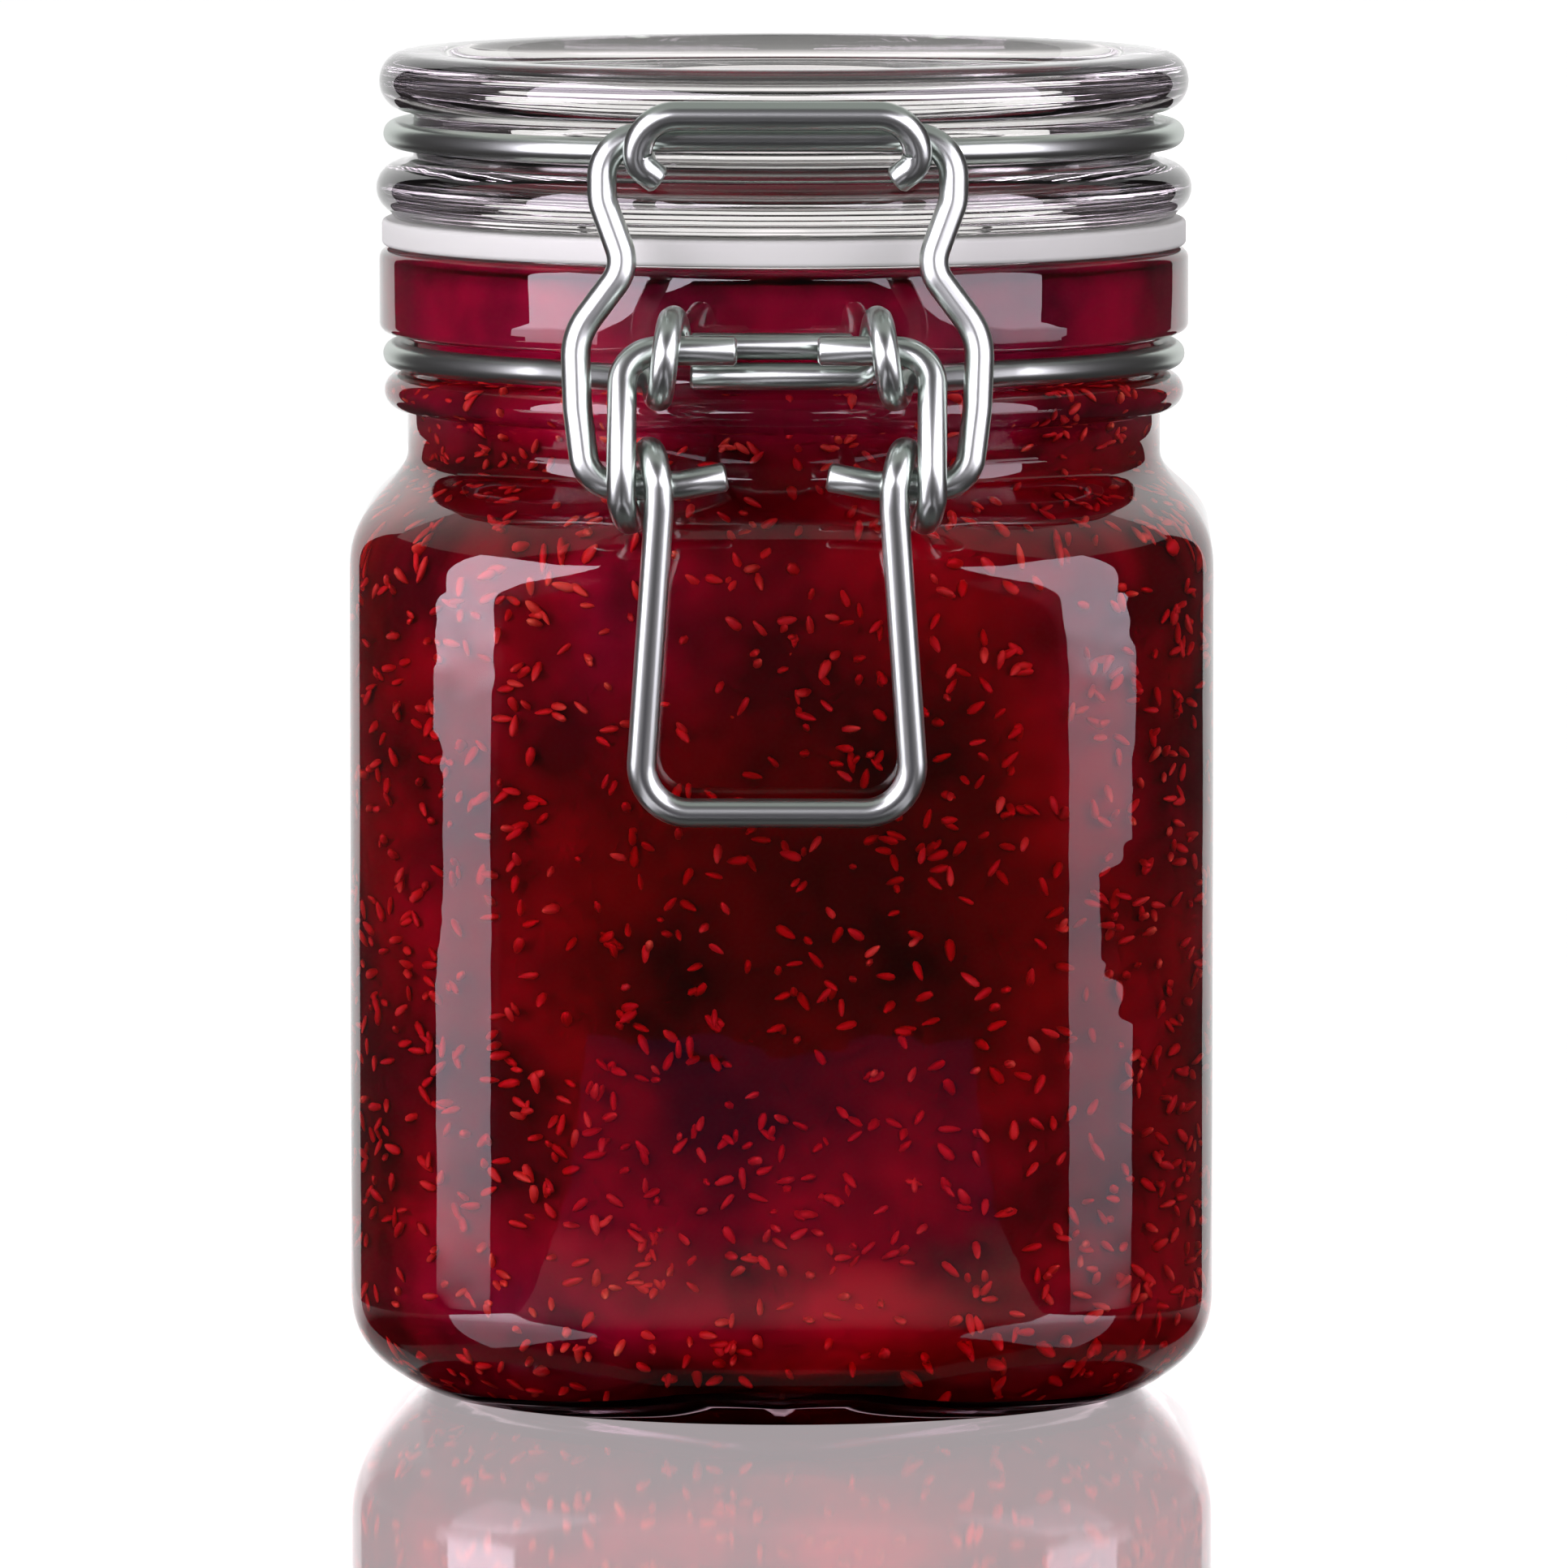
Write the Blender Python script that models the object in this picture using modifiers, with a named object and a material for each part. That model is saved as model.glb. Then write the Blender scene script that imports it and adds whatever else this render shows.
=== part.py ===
"""A clip top jar of berry jam: pressed glass jar and lid, a rubber ring, and a wire closure.

Lengths below are millimetres, turned to metres where an object is made. The origin is the middle of
the base, +Z is up, and the closing lever is on the -Y side.
"""

import math

import bmesh
import bpy
from mathutils import Matrix, Vector

MM = 0.001

# Jar body
BODY_HALF_WIDTH = 49.1
BODY_CORNER_RADIUS = 30.0
WALL = 3.2
FOOT_RADIUS = 41.0
FOOT_RING_WIDTH = 4.2
PUNT_DEPTH = 2.2
HEEL_HEIGHT = 13.4
HEEL_FULLNESS = 2.4
FLOOR_Z = 4.6
FLOOR_RADIUS = 40.0
INNER_HEEL_HEIGHT = 9.5
SHOULDER_LOW_Z = 93.6
SHOULDER_HIGH_Z = 107.2
SHOULDER_FULLNESS = 1.75
INNER_SHOULDER_LOW_Z = SHOULDER_LOW_Z - WALL / 2
INNER_SHOULDER_HIGH_Z = SHOULDER_HIGH_Z - WALL / 4
HEEL_STEPS = (0.17, 0.32, 0.52, 0.75, 1.0)
SHOULDER_STEPS = (0.0, 0.22, 0.42, 0.6, 0.76, 0.9, 1.0)

# Neck and mouth of the jar
NECK_RADIUS = 43.0
MOUTH_RADIUS = 39.6
LOWER_BEAD_Z = 114.2
LOWER_BEAD_RADIUS = 45.65
LOWER_BEAD_HALF_HEIGHT = 2.3
GROOVE_RADIUS = 42.3
COLLAR_LOW_Z = 120.9
COLLAR_RADIUS = 46.2
RIM_Z = 130.5
RIM_EDGE = 1.2
MOUTH_EDGE = 0.8

# Rubber ring and lid
GAP = 0.3
GASKET_HEIGHT = 3.0
GASKET_RADIUS = 45.9
GASKET_BORE_RADIUS = 37.2
GASKET_EDGE = 0.5
LID_SEAT_Z = RIM_Z + GASKET_HEIGHT + 2 * GAP
LID_PLUG_RADIUS = 35.8
LID_PLUG_DEPTH = 5.2
LID_SEAT_RADIUS = 44.6
LID_CORE_RADIUS = 43.2
LID_BEAD_Z = 137.3
LID_BEAD_RADIUS = 46.55
LID_BEAD_HALF_HEIGHT = 3.1
LID_GROOVE_RADIUS = 42.3
LID_RIM_Z = 149.5
LID_RIM_RADIUS = 46.2
LID_RIM_HALF_HEIGHT = 3.3
LID_TOP_Z = 152.8
LID_TOP_RADIUS = 38.6
LID_RECESS_RADIUS = 35.4
LID_RECESS_DEPTH = 2.9
LID_PATCH_RADIUS = 16.0
LID_PATCH_HEIGHT = 0.5

# Jam
JAM_TOP_Z = 128.4
JAM_GAP = 0.35

# Wires
BAND_WIRE = 3.05
LEVER_WIRE = 3.3
NECK_WIRE_RADIUS = 44.25
NECK_WIRE_Z = 118.4
NECK_WIRE_LEAVE_DEG = 35.0
LID_WIRE_RADIUS = 44.2
LID_WIRE_Z = 143.5
LID_WIRE_LEAVE_DEG = 28.0
LID_WIRE_FRONT_DEG = 25.5
LID_WIRE_TURN = (15.5, -41.6, LID_WIRE_Z)
LID_WIRE_DIP = (14.9, -46.4, 141.95)
LID_WIRE_END = (14.6, -49.7, 141.8)
LID_LEG_START_Y = 43.2
LID_LEG_TOP_Z = 139.6

# Eyes of the neck wire, which the lever and the lid wire turn in
EYE_RADIUS = 4.43
EYE_Z = 121.1
FRONT_EYE_Y = -52.5
REAR_EYE_Y = 53.5
EYE_INNER_X = 9.9
EYE_MIDDLE_X = 11.0
EYE_OUTER_X = 13.8
EYE_LOW_ANGLE = -30.0
EYE_HIGH_ANGLE = 14.0
EYE_RING_ANGLE = -37.0
EYE_BEND = 1.7
HIGH_STRAND_END_X = 8.4
LOW_STRAND_END_X = -9.8
PIN_Z = 121.95
PIN_END_X = 4.5

# Lever: pins, legs, one turn round the bail's ends, then the handle
LEVER_LEG_X = 17.3
LEVER_BEND = 4.0
COIL_Y = -54.0
COIL_Z = 107.0
COIL_RADIUS = 3.8
COIL_INNER_X = 13.1
COIL_END_ANGLE = -162.0
COIL_LEAD = 2.4
HANDLE_BOTTOM_X = 15.5
HANDLE_BOTTOM_Y = -55.6
HANDLE_BOTTOM_Z = 70.5
HANDLE_CORNER = 5.4

# Bail: the loop that the lever draws down over the lid
BAIL_BAR_Y = -48.6
BAIL_BAR_Z = 145.6
BAIL_SIDE = (
    # (x, z, bend radius): the bar's middle and corner, in past the lid, out past the eye, and the pin
    (0.0, BAIL_BAR_Z, 0.0),
    (19.7, BAIL_BAR_Z, 4.5),
    (19.6, 138.5, 4.5),
    (16.9, 131.2, 4.2),
    (22.6, 123.6, 7.0),
    (22.3, 115.6, 12.0),
    (21.2, COIL_Z, 3.8),
    (10.8, COIL_Z, 2.5),
    (5.6, COIL_Z + 1.0, 0.0),
)

# Catch on the lid wire, in front of the bail's bar
CATCH_HALF = (
    # (x, y, z, bend radius): the lip's middle and corner, the foot of its side, and its cut end
    (0.0, -53.3, 148.2, 0.0),
    (15.6, -53.3, 148.2, 4.4),
    (15.6, -52.0, 142.7, 2.5),
    (13.1, -51.6, 140.8, 0.0),
)

ROUND_SIDES = 36
WIRE_BEVEL_RESOLUTION = 2
RING_STEP_DEG = 6.0
LOOP_STEP_DEG = 24.0
BEND_STEP_DEG = 22.0


def clear_scene():
    for obj in list(bpy.data.objects):
        bpy.data.objects.remove(obj, do_unlink=True)


def make_material(name, colour, roughness, metallic=0.0, transmission=0.0):
    material = bpy.data.materials.new(name)
    material.use_nodes = True
    shader = material.node_tree.nodes["Principled BSDF"]
    shader.inputs["Base Color"].default_value = (*colour, 1.0)
    shader.inputs["Roughness"].default_value = roughness
    shader.inputs["Metallic"].default_value = metallic
    shader.inputs["Transmission Weight"].default_value = transmission
    return material


def add_object(name, data, material, collection, pivot=None):
    """Link an object whose data is in world coordinates, carried by the pivot it turns on."""
    data.materials.append(material)
    obj = bpy.data.objects.new(name, data)
    collection.objects.link(obj)
    if pivot:
        obj.parent = pivot
        obj.matrix_parent_inverse = Matrix.Translation(-pivot.location)
    return obj


def add_pivot(name, y, z, collection):
    """An empty on a joint's axis, which runs along X."""
    pivot = bpy.data.objects.new(name, None)
    pivot.location = (0.0, y * MM, z * MM)
    pivot.empty_display_size = 10 * MM
    collection.objects.link(pivot)
    return pivot


# ---------------------------------------------------------------- lofted glass

def section(half_width, corner_radius, z):
    """A level ring of points on a rounded square, or on a circle where the two sizes are equal."""
    offset = half_width - corner_radius
    points = []
    for index in range(ROUND_SIDES):
        angle = 2 * math.pi * (index + 0.5) / ROUND_SIDES
        c = math.cos(angle)
        s = math.sin(angle)
        points.append(
            Vector(
                (
                    math.copysign(offset, c) + corner_radius * c,
                    math.copysign(offset, s) + corner_radius * s,
                    z,
                )
            )
        )
    return points


def loft(name, first_z, rings, last_z):
    """A closed mesh through the rings, with a middle point that closes each end."""
    mesh = bpy.data.meshes.new(name)
    bm = bmesh.new()
    loops = [[bm.verts.new(p * MM) for p in section(*ring)] for ring in rings]
    first = bm.verts.new((0.0, 0.0, first_z * MM))
    last = bm.verts.new((0.0, 0.0, last_z * MM))
    for i in range(ROUND_SIDES):
        j = (i + 1) % ROUND_SIDES
        bm.faces.new((first, loops[0][j], loops[0][i]))
        for low, high in zip(loops, loops[1:]):
            bm.faces.new((low[i], low[j], high[j], high[i]))
        bm.faces.new((last, loops[-1][i], loops[-1][j]))
    bmesh.ops.recalc_face_normals(bm, faces=bm.faces)
    bm.to_mesh(mesh)
    bm.free()
    mesh.shade_smooth()
    mesh.set_sharp_from_angle(angle=math.radians(40))
    return mesh


def shoulder_share(u):
    """How much of the body's extra width is left at height share u of the shoulder."""
    return 0.5 * (1 + math.cos(math.pi * u**SHOULDER_FULLNESS))


def heel_share(u):
    """How much of the heel's width is gained at height share u of the heel."""
    return 1 - (1 - u) ** HEEL_FULLNESS


def between(low, high, share):
    return low + (high - low) * share


def shoulder_rings(neck, half_width, corner, low_z, high_z, shares):
    rings = []
    for u in shares:
        f = shoulder_share(u)
        z = between(low_z, high_z, u)
        rings.append((between(neck, half_width, f), between(neck, corner, f), z))
    return rings


def heel_rings(foot, half_width, corner, low_z, high_z, shares):
    rings = []
    for u in shares:
        f = heel_share(u)
        z = between(low_z, high_z, u)
        rings.append((between(foot, half_width, f), between(foot, corner, f), z))
    return rings


def bead_profile(core, radius, middle_z, half_height, angles):
    """Points (radius, z) round a bead's outer half, at angles from straight down to straight up."""
    points = []
    for degrees in angles:
        a = math.radians(degrees)
        points.append((core + (radius - core) * math.cos(a), middle_z + half_height * math.sin(a)))
    return points


def round_rings(profile):
    return [(r, r, z) for r, z in profile]


def cavity_rings(gap, shoulder_steps):
    """The jar's inner wall from its floor up to the neck, drawn in by a gap all round."""
    width = BODY_HALF_WIDTH - WALL - gap
    corner = BODY_CORNER_RADIUS - WALL - gap
    floor_z = FLOOR_Z + gap
    rings = heel_rings(
        FLOOR_RADIUS - gap, width, corner, floor_z, floor_z + INNER_HEEL_HEIGHT, (0.0, *HEEL_STEPS)
    )
    return rings + shoulder_rings(
        MOUTH_RADIUS - gap,
        width,
        corner,
        INNER_SHOULDER_LOW_Z - gap,
        INNER_SHOULDER_HIGH_Z - gap,
        shoulder_steps,
    )


def jar_rings():
    punt_edge = FOOT_RADIUS - FOOT_RING_WIDTH
    punt_top = punt_edge - FOOT_RING_WIDTH
    outside = round_rings([(punt_top, PUNT_DEPTH), (punt_edge, 0.0), (FOOT_RADIUS, 0.0)])
    outside += heel_rings(
        FOOT_RADIUS, BODY_HALF_WIDTH, BODY_CORNER_RADIUS, 0.0, HEEL_HEIGHT, (0.07, *HEEL_STEPS)
    )
    outside += shoulder_rings(
        NECK_RADIUS, BODY_HALF_WIDTH, BODY_CORNER_RADIUS, SHOULDER_LOW_Z, SHOULDER_HIGH_Z, SHOULDER_STEPS
    )
    lower_bead = bead_profile(
        NECK_RADIUS, LOWER_BEAD_RADIUS, LOWER_BEAD_Z, LOWER_BEAD_HALF_HEIGHT, (-90, -50, 0, 50, 90)
    )
    collar = [
        (GROOVE_RADIUS, LOWER_BEAD_Z + LOWER_BEAD_HALF_HEIGHT + 0.5),
        (GROOVE_RADIUS, COLLAR_LOW_Z - 1.0),
        (COLLAR_RADIUS - 0.9, COLLAR_LOW_Z),
        (COLLAR_RADIUS, COLLAR_LOW_Z + 1.1),
        (COLLAR_RADIUS, RIM_Z - RIM_EDGE),
        (COLLAR_RADIUS - RIM_EDGE, RIM_Z),
        (MOUTH_RADIUS + MOUTH_EDGE, RIM_Z),
        (MOUTH_RADIUS, RIM_Z - MOUTH_EDGE),
    ]
    outside += round_rings(lower_bead + collar)
    return outside + list(reversed(cavity_rings(0.0, SHOULDER_STEPS[::2])))


def jam_rings():
    neck = MOUTH_RADIUS - JAM_GAP
    return cavity_rings(JAM_GAP, (0.0, 0.42, 0.76, 1.0)) + [(neck, neck, JAM_TOP_Z)]


# ---------------------------------------------------------------- turned pieces

def turned(name, profile, closed):
    """A mesh turned about Z from (radius, z) points that run down the outer side."""
    mesh = bpy.data.meshes.new(name)
    count = len(profile)
    edges = [(i, i + 1) for i in range(count - 1)]
    if closed:
        edges.append((count - 1, 0))
    mesh.from_pydata([(r * MM, 0.0, z * MM) for r, z in profile], edges, [])
    return mesh


def add_screw(obj):
    screw = obj.modifiers.new("Turn", "SCREW")
    screw.steps = ROUND_SIDES
    screw.render_steps = ROUND_SIDES
    screw.use_merge_vertices = True
    screw.merge_threshold = 0.00005
    screw.use_smooth_shade = True


def lid_profile():
    """From the middle of the top, down the outside, to the middle of the underside."""
    recess_z = LID_TOP_Z - LID_RECESS_DEPTH
    plug_z = LID_SEAT_Z - LID_PLUG_DEPTH
    profile = [
        (0.0, recess_z + LID_PATCH_HEIGHT),
        (LID_PATCH_RADIUS, recess_z + LID_PATCH_HEIGHT),
        (LID_PATCH_RADIUS + LID_PATCH_HEIGHT, recess_z),
        (LID_RECESS_RADIUS - 2.2, recess_z),
        (LID_RECESS_RADIUS, recess_z + 0.9),
        (LID_TOP_RADIUS, LID_TOP_Z - 0.3),
        (LID_TOP_RADIUS + 1.6, LID_TOP_Z),
    ]
    profile += bead_profile(
        LID_CORE_RADIUS, LID_RIM_RADIUS, LID_RIM_Z, LID_RIM_HALF_HEIGHT, (90, 58, 28, 0, -28, -58, -90)
    )
    profile += [
        (LID_GROOVE_RADIUS, LID_RIM_Z - LID_RIM_HALF_HEIGHT - 0.4),
        (LID_GROOVE_RADIUS, LID_BEAD_Z + LID_BEAD_HALF_HEIGHT + 0.4),
    ]
    profile += bead_profile(
        LID_CORE_RADIUS, LID_BEAD_RADIUS, LID_BEAD_Z, LID_BEAD_HALF_HEIGHT, (90, 55, 25, 0, -25, -55)
    )
    profile += [
        (LID_SEAT_RADIUS, LID_SEAT_Z),
        (LID_PLUG_RADIUS + 0.4, LID_SEAT_Z),
        (LID_PLUG_RADIUS, plug_z),
        (0.0, plug_z),
    ]
    return profile


def gasket_profile():
    low_z = RIM_Z + GAP
    high_z = low_z + GASKET_HEIGHT
    return [
        (GASKET_BORE_RADIUS, high_z),
        (GASKET_RADIUS - GASKET_EDGE, high_z),
        (GASKET_RADIUS, high_z - GASKET_EDGE),
        (GASKET_RADIUS, low_z + GASKET_EDGE),
        (GASKET_RADIUS - GASKET_EDGE, low_z),
        (GASKET_BORE_RADIUS, low_z),
    ]


# ---------------------------------------------------------------- bent wires

def rounded(corners):
    """Points of a wire through (point, bend radius) corners. A radius of 0 keeps the corner."""
    points = [corners[0][0]]
    for before, (corner, radius), after in zip(corners, corners[1:], corners[2:]):
        if radius == 0:
            points.append(corner)
            continue
        incoming = (corner - before[0]).normalized()
        outgoing = (after[0] - corner).normalized()
        turn = incoming.angle(outgoing)
        start = corner - incoming * radius * math.tan(turn / 2)
        inward = (outgoing - incoming * incoming.dot(outgoing)).normalized()
        steps = max(2, math.ceil(math.degrees(turn) / BEND_STEP_DEG))
        for step in range(steps + 1):
            angle = turn * step / steps
            points.append(
                start + incoming * radius * math.sin(angle) + inward * radius * (1 - math.cos(angle))
            )
    points.append(corners[-1][0])
    return points


def wire(name, points, diameter):
    curve = bpy.data.curves.new(name, "CURVE")
    curve.dimensions = "3D"
    curve.bevel_depth = diameter / 2 * MM
    curve.bevel_resolution = WIRE_BEVEL_RESOLUTION
    curve.use_fill_caps = True
    spline = curve.splines.new("POLY")
    spline.points.add(len(points) - 1)
    for slot, point in zip(spline.points, points):
        slot.co = (*(point * MM), 1.0)
    return curve


def mirrored(half):
    """A whole wire from one half that starts in the plane X = 0."""
    other = [Vector((-p.x, p.y, p.z)) for p in reversed(half)]
    return other[:-1] + half


def turn_point(y, z, toward_glass, radius, x, degrees):
    """A point of a circle about X round (y, z); 0 degrees faces the glass and 90 degrees is up."""
    angle = math.radians(degrees)
    return Vector((x, y + toward_glass * radius * math.cos(angle), z + radius * math.sin(angle)))


def helix(y, z, toward_glass, radius, start, end):
    """Corners of a turn about X, from (x, degrees) to (x, degrees)."""
    steps = math.ceil(abs(end[1] - start[1]) / LOOP_STEP_DEG)
    corners = []
    for step in range(steps + 1):
        share = step / steps
        x = between(start[0], end[0], share)
        degrees = between(start[1], end[1], share)
        corners.append((turn_point(y, z, toward_glass, radius, x, degrees), 0.0))
    return corners


def with_bends(corners, radius):
    """The same turn, entered and left by a bend."""
    return [(corners[0][0], radius), *corners[1:-1], (corners[-1][0], radius)]


def ring_arc(radius, z, from_deg, to_deg):
    """Corners of a level arc; 0 degrees is +X and 90 degrees is +Y."""
    steps = math.ceil(abs(to_deg - from_deg) / RING_STEP_DEG)
    corners = []
    for step in range(steps + 1):
        angle = math.radians(between(from_deg, to_deg, step / steps))
        corners.append((Vector((radius * math.cos(angle), radius * math.sin(angle), z)), 0.0))
    return corners


def eye(y, toward_glass, start, end):
    """One eye of the neck wire, from (x, degrees) to (x, degrees)."""
    return with_bends(helix(y, EYE_Z, toward_glass, EYE_RADIUS, start, end), EYE_BEND)


def neck_wire_points():
    """One wire: its ends lie one over the other between the front eyes, and it has two more eyes behind."""
    ring_turn = 360 + EYE_RING_ANGLE
    leave = NECK_WIRE_LEAVE_DEG
    high_end = turn_point(FRONT_EYE_Y, EYE_Z, 1, EYE_RADIUS, HIGH_STRAND_END_X, EYE_HIGH_ANGLE)
    low_end = turn_point(FRONT_EYE_Y, EYE_Z, 1, EYE_RADIUS, LOW_STRAND_END_X, EYE_LOW_ANGLE)
    corners = [(high_end, 0.0)]
    corners += eye(FRONT_EYE_Y, 1, (-EYE_MIDDLE_X, EYE_HIGH_ANGLE), (-EYE_OUTER_X, ring_turn))
    corners += ring_arc(NECK_WIRE_RADIUS, NECK_WIRE_Z, 270 - leave, 90 + leave)
    corners += eye(REAR_EYE_Y, -1, (-EYE_OUTER_X, ring_turn), (-EYE_INNER_X, EYE_LOW_ANGLE))
    corners += eye(REAR_EYE_Y, -1, (EYE_INNER_X, EYE_LOW_ANGLE), (EYE_OUTER_X, ring_turn))
    corners += ring_arc(NECK_WIRE_RADIUS, NECK_WIRE_Z, 90 - leave, leave - 90)
    corners += eye(FRONT_EYE_Y, 1, (EYE_OUTER_X, ring_turn), (EYE_INNER_X, EYE_LOW_ANGLE))
    corners.append((low_end, 0.0))
    return rounded(corners)


def lid_wire_points():
    """Through the rear eyes, up two legs, round the lid's groove, and out to the catch in front."""
    half = [
        (Vector((0.0, REAR_EYE_Y, PIN_Z)), 0.0),
        (Vector((LEVER_LEG_X, REAR_EYE_Y, PIN_Z)), LEVER_BEND),
        (Vector((LEVER_LEG_X, REAR_EYE_Y, LID_LEG_TOP_Z)), 3.0),
        (Vector((LEVER_LEG_X, LID_LEG_START_Y, LID_WIRE_Z)), 2.6),
    ]
    half += ring_arc(LID_WIRE_RADIUS, LID_WIRE_Z, 90 - LID_WIRE_LEAVE_DEG, LID_WIRE_FRONT_DEG - 90)
    half += [(Vector(LID_WIRE_TURN), 3.0), (Vector(LID_WIRE_DIP), 7.0), (Vector(LID_WIRE_END), 0.0)]
    return mirrored(rounded(half))


def catch_points():
    """A lip in front of the bail's bar, whose ends curl down and in over the lid wire's ends."""
    return mirrored(rounded([(Vector((x, y, z)), bend) for x, y, z, bend in CATCH_HALF]))


def bail_y(z):
    """The bail's plane leans back from its pins to its bar."""
    return between(COIL_Y, BAIL_BAR_Y, (z - COIL_Z) / (BAIL_BAR_Z - COIL_Z))


def bail_points():
    """Top bar, then sides that bow in past the lid and out past the eyes, then pins that point in."""
    return mirrored(rounded([(Vector((x, bail_y(z), z)), bend) for x, z, bend in BAIL_SIDE]))


def lever_points():
    """Handle bar, up each side, one turn round the bail's pin, up the leg, and in through the eye."""
    front_y = COIL_Y - COIL_RADIUS
    half = [
        (Vector((0.0, HANDLE_BOTTOM_Y, HANDLE_BOTTOM_Z)), 0.0),
        (Vector((HANDLE_BOTTOM_X, HANDLE_BOTTOM_Y, HANDLE_BOTTOM_Z)), HANDLE_CORNER),
        (Vector((COIL_INNER_X, front_y, COIL_Z - COIL_LEAD)), 0.0),
    ]
    half += helix(COIL_Y, COIL_Z, 1, COIL_RADIUS, (COIL_INNER_X, 180), (LEVER_LEG_X, COIL_END_ANGLE))
    half += [
        (Vector((LEVER_LEG_X, front_y, COIL_Z + COIL_LEAD)), 0.0),
        (Vector((LEVER_LEG_X, FRONT_EYE_Y, PIN_Z)), LEVER_BEND),
        (Vector((PIN_END_X, FRONT_EYE_Y, PIN_Z)), 0.0),
    ]
    return mirrored(rounded(half))


# ---------------------------------------------------------------- the whole jar

def build():
    clear_scene()
    collection = bpy.data.collections.new("clip_top_jar")
    bpy.context.scene.collection.children.link(collection)

    glass = make_material("clear_pressed_glass", (0.86, 0.88, 0.87), 0.04, transmission=0.9)
    rubber = make_material("pale_rubber", (0.62, 0.62, 0.64), 0.5)
    jam = make_material("berry_jam", (0.22, 0.004, 0.008), 0.25)
    steel = make_material("bright_steel_wire", (0.56, 0.58, 0.57), 0.22, metallic=1.0)

    lid_pivot = add_pivot("lid_axis", REAR_EYE_Y, PIN_Z, collection)
    lever_pivot = add_pivot("lever_axis", FRONT_EYE_Y, PIN_Z, collection)
    bail_pivot = add_pivot("bail_axis", COIL_Y, COIL_Z, collection)

    add_object("jar_glass", loft("jar_glass", PUNT_DEPTH, jar_rings(), FLOOR_Z), glass, collection)
    add_object("jam", loft("jam", FLOOR_Z + JAM_GAP, jam_rings(), JAM_TOP_Z), jam, collection)
    add_object("neck_wire", wire("neck_wire", neck_wire_points(), BAND_WIRE), steel, collection)

    lid = add_object("lid_glass", turned("lid_glass", lid_profile(), False), glass, collection, lid_pivot)
    add_screw(lid)
    gasket = add_object("gasket", turned("gasket", gasket_profile(), True), rubber, collection, lid_pivot)
    add_screw(gasket)
    add_object("lid_wire", wire("lid_wire", lid_wire_points(), BAND_WIRE), steel, collection, lid_pivot)
    add_object("catch", wire("catch", catch_points(), LEVER_WIRE), steel, collection, lid_pivot)

    add_object("lever", wire("lever", lever_points(), LEVER_WIRE), steel, collection, lever_pivot)
    add_object("bail", wire("bail", bail_points(), LEVER_WIRE), steel, collection, bail_pivot)


build()
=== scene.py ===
import math
import random

import bpy
import numpy as np
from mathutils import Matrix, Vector, noise


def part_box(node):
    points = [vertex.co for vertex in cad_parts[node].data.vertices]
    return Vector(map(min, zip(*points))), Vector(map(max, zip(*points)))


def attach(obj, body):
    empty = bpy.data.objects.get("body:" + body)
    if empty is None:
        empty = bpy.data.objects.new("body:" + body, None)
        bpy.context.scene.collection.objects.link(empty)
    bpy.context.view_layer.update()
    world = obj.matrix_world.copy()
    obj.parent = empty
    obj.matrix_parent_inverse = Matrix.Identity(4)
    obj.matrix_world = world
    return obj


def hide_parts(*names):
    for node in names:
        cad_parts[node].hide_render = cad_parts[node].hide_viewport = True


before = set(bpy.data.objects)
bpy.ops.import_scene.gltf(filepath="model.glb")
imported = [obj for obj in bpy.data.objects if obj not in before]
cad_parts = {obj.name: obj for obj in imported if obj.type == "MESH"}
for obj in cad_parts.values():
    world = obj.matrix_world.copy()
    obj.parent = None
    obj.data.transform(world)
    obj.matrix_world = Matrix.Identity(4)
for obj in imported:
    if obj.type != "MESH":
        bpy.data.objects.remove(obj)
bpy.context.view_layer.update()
MM = 0.001


# ------------------------------------------------------------------------------------------------
# The jar. Pressed soda-lime glass, blown and pressed in an iron mould: a rounded-square body with
# soft corners, drawn in to a round neck with a bead, a groove for the wire and a plain collar.
# It stands on a ring round a raised middle.

BODY_HALF_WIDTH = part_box("jar_glass")[1].x / MM
BODY_CORNER_RADIUS = 30.0
WALL = 3.2
FOOT_RADIUS = 41.0
FOOT_RING_WIDTH = 4.2
PUNT_DEPTH = 2.2
HEEL_HEIGHT = 13.4
HEEL_FULLNESS = 2.4
FLOOR_Z = 4.6
FLOOR_RADIUS = 40.0
INNER_HEEL_HEIGHT = 9.5
SHOULDER_LOW_Z = 93.6
SHOULDER_HIGH_Z = 107.2
SHOULDER_FULLNESS = 1.75
INNER_SHOULDER_LOW_Z = 92.0
INNER_SHOULDER_HIGH_Z = 106.4
NECK_RADIUS = 43.0
MOUTH_RADIUS = 39.6
MOUTH_EDGE = 0.8
LOWER_BEAD_Z = 114.2
LOWER_BEAD_RADIUS = 45.65
LOWER_BEAD_HALF_HEIGHT = 2.3
GROOVE_RADIUS = 42.3
GROOVE_CHAMFER = 0.5
COLLAR_LOW_Z = 120.9
COLLAR_RADIUS = 46.2
COLLAR_LOW_EDGE = 1.1
COLLAR_HIGH_EDGE = 1.2
RIM_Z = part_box("jar_glass")[1].z / MM
LID_PLUG_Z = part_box("lid_glass")[0].z / MM
SIDES = 180
GLASS_INDEX = 1.5
# Glass bends light less where jam lies on it: hardly on the walls, more under the jar's floor.
WALL_ON_JAM_INDEX = 1.06
SHOULDER_ON_JAM_INDEX = 1.08
FLOOR_ON_JAM_INDEX = 1.40


def tone(code):
    """A finish's sRGB hex value as the linear colour that a shader takes."""
    shares = [int(code[i : i + 2], 16) / 255 for i in (1, 3, 5)]
    return (*(s / 12.92 if s <= 0.04045 else ((s + 0.055) / 1.055) ** 2.4 for s in shares), 1.0)


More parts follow.
